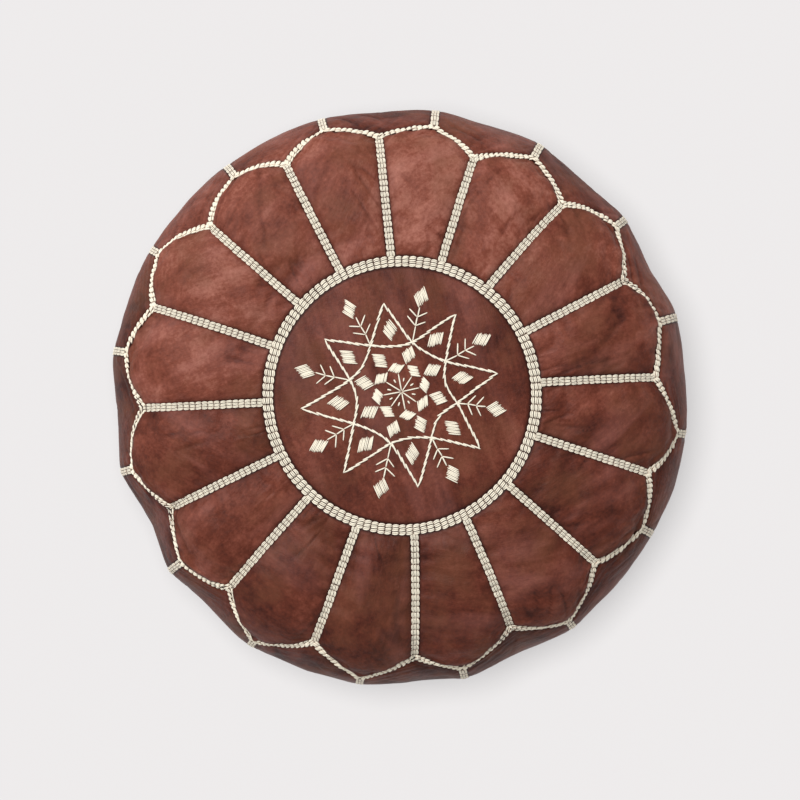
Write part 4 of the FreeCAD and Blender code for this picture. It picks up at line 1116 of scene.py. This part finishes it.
def build_rosette(skin, cotton):
    """The whole embroidery of the medallion."""
    rosette = Rosette(skin)
    star, branches, pads, middle = Thread(), Thread(), Thread(), Thread()
    for n in range(POINTS_OF_STAR):
        rosette.stem_line(star, star_path(n))
        on, between = ROSETTE_TURN + n * 45, ROSETTE_TURN + 22.5 + n * 45
        for ring in PAD_RINGS:
            angle = (on if ring.in_line else between) + ring.leans[n]
            along = polar(ring.half_length * MM * rng.uniform(0.96, 1.05), angle + ring.turns[n])
            across = polar(ring.half_width * MM * rng.uniform(0.95, 1.05), angle + ring.turns[n] + 90)
            rosette.lozenge(pads, polar(ring.reach * MM, angle), along, across * ring.strands_turn)
        build_branch(rosette, branches, between, n)
        spoke, dot = on + rng.uniform(-2, 2), between + rng.uniform(-2, 2)
        rosette.stitch(middle, polar(0.5 * MM, spoke), polar(16.6 * MM, spoke), 1.3 * MM)
        rosette.stitch(middle, polar(9.4 * MM, dot), polar(12.8 * MM, dot), 1.5 * MM)
    star.build("rosette_star_line", cotton, "rosette_star")
    branches.build("rosette_branch_stitches", cotton, "rosette_branches")
    pads.build("rosette_satin_lozenges", cotton, "rosette_lozenges")
    middle.build("rosette_middle_stitches", cotton, "rosette_centre")


def build_branch(rosette, thread, between, n):
    """A stem from a crossing to its outer lozenge, with two pairs of barbs."""
    lean = between + OUTER_PADS.leans[n]
    stops = (CROSSING_REACH[n] * MM + 0.8 * MM, 60.3 * MM, 68.3 * MM, OUTER_PADS.reach * MM - 9 * MM)
    turns = (between + CROSSING_LEAN[n], lean, lean, lean + 0.1 * OUTER_PADS.turns[n])
    places = [polar(reach, turn) for reach, turn in zip(stops, turns)]
    for start, end in zip(places, places[1:]):
        rosette.stitch(thread, start, end, 1.4 * MM)
    for root in places[1:3]:
        for side in (-1, 1):
            reach = polar(10.9 * MM * rng.uniform(0.92, 1.08), lean + side * rng.uniform(47, 58))
            rosette.stitch(thread, root, root + reach, 1.35 * MM)


# ---- zip


def dress_zip():
    """Materials for the zip's own parts, and softened edges for its metal."""
    brass, weave = brass_material(), tape_material()
    metal = ("teeth_back", "teeth_front", "top_stops", "bottom_stop", "slider", "pull")
    for part in metal + ("tape_back", "tape_front"):
        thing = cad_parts[f"zip_{part}"]
        slots = thing.data.materials
        if not slots:
            slots.append(None)
        for number in range(len(slots)):
            slots[number] = brass if part in metal else weave
        if part in metal:
            soften = thing.modifiers.new("soft_edges", "BEVEL")
            soften.width = 0.22 * MM
            soften.segments = 2
            soften.limit_method = "ANGLE"


# ---- studio


def sun(name, strength, spread, comes_from, floor, state):
    """A distant lamp, with its spread in degrees, that lights only the floor or everything but the floor."""
    lamp = bpy.data.lights.new(name, "SUN")
    lamp.energy = strength
    lamp.angle = math.radians(spread)
    thing = put(name, lamp)
    thing.rotation_euler = Vector(comes_from).to_track_quat("Z", "Y").to_euler()
    lit = bpy.data.collections.new(f"lit_by_{name}")
    lit.objects.link(floor)
    lit.collection_objects[0].light_linking.link_state = state
    thing.light_linking.receiver_collection = lit


def build_studio():
    """Pale floor, soft light from the upper left, and a long lens straight above.

    The floor has a lamp of its own almost straight overhead, so that the pouf's shadow stays close to it.
    """
    bpy.ops.mesh.primitive_plane_add(size=14)
    floor = bpy.context.object
    floor.name = "studio_floor"
    floor.data.materials.append(floor_material())
    world = bpy.data.worlds.new("studio")
    scene.world = world
    world.use_nodes = True
    sky = world.node_tree.nodes["Background"]
    sky.inputs["Color"].default_value = (1.0, 0.995, 0.995, 1)
    sky.inputs["Strength"].default_value = 0.5
    sun("window", 2.5, 38, (-0.5, 0.6, 1.0), floor, "EXCLUDE")
    sun("overhead", 53, 18, (-0.053, 0.031, 1.0), floor, "INCLUDE")
    camera = put("camera", bpy.data.cameras.new("camera"))
    camera.location = (1.0 * MM, -2.5 * MM, 4.04)
    camera.data.sensor_width = 36
    camera.data.lens = 188.4
    camera.data.clip_end = 50
    scene.camera = camera
    scene.view_settings.view_transform = "Standard"


# ---- the whole pouf


POINTS = POINTS + settle(POINTS)
GAP = seam_gap()
SEWN = sewn(POINTS, GAP)

leather = leather_material()
# each cord gets a lit colour and a painted shade colour
cotton = cord_material("cotton_cord", srgb(255, 247, 226), srgb(150, 86, 52))
sewing = cord_material("sewing_thread", srgb(112, 66, 48), srgb(52, 28, 22))
build_leather(leather)
base_half("leather_base_back", "base_half_back", 1, leather)
base_half("leather_base_front", "base_half_front", -1, leather)
build_stuffing()
skin = Skin()
build_seam_cords(skin, cotton)
build_rosette(skin, cotton)
build_base_thread(sewing)
build_zip_stitching(sewing)
dress_zip()
build_studio()
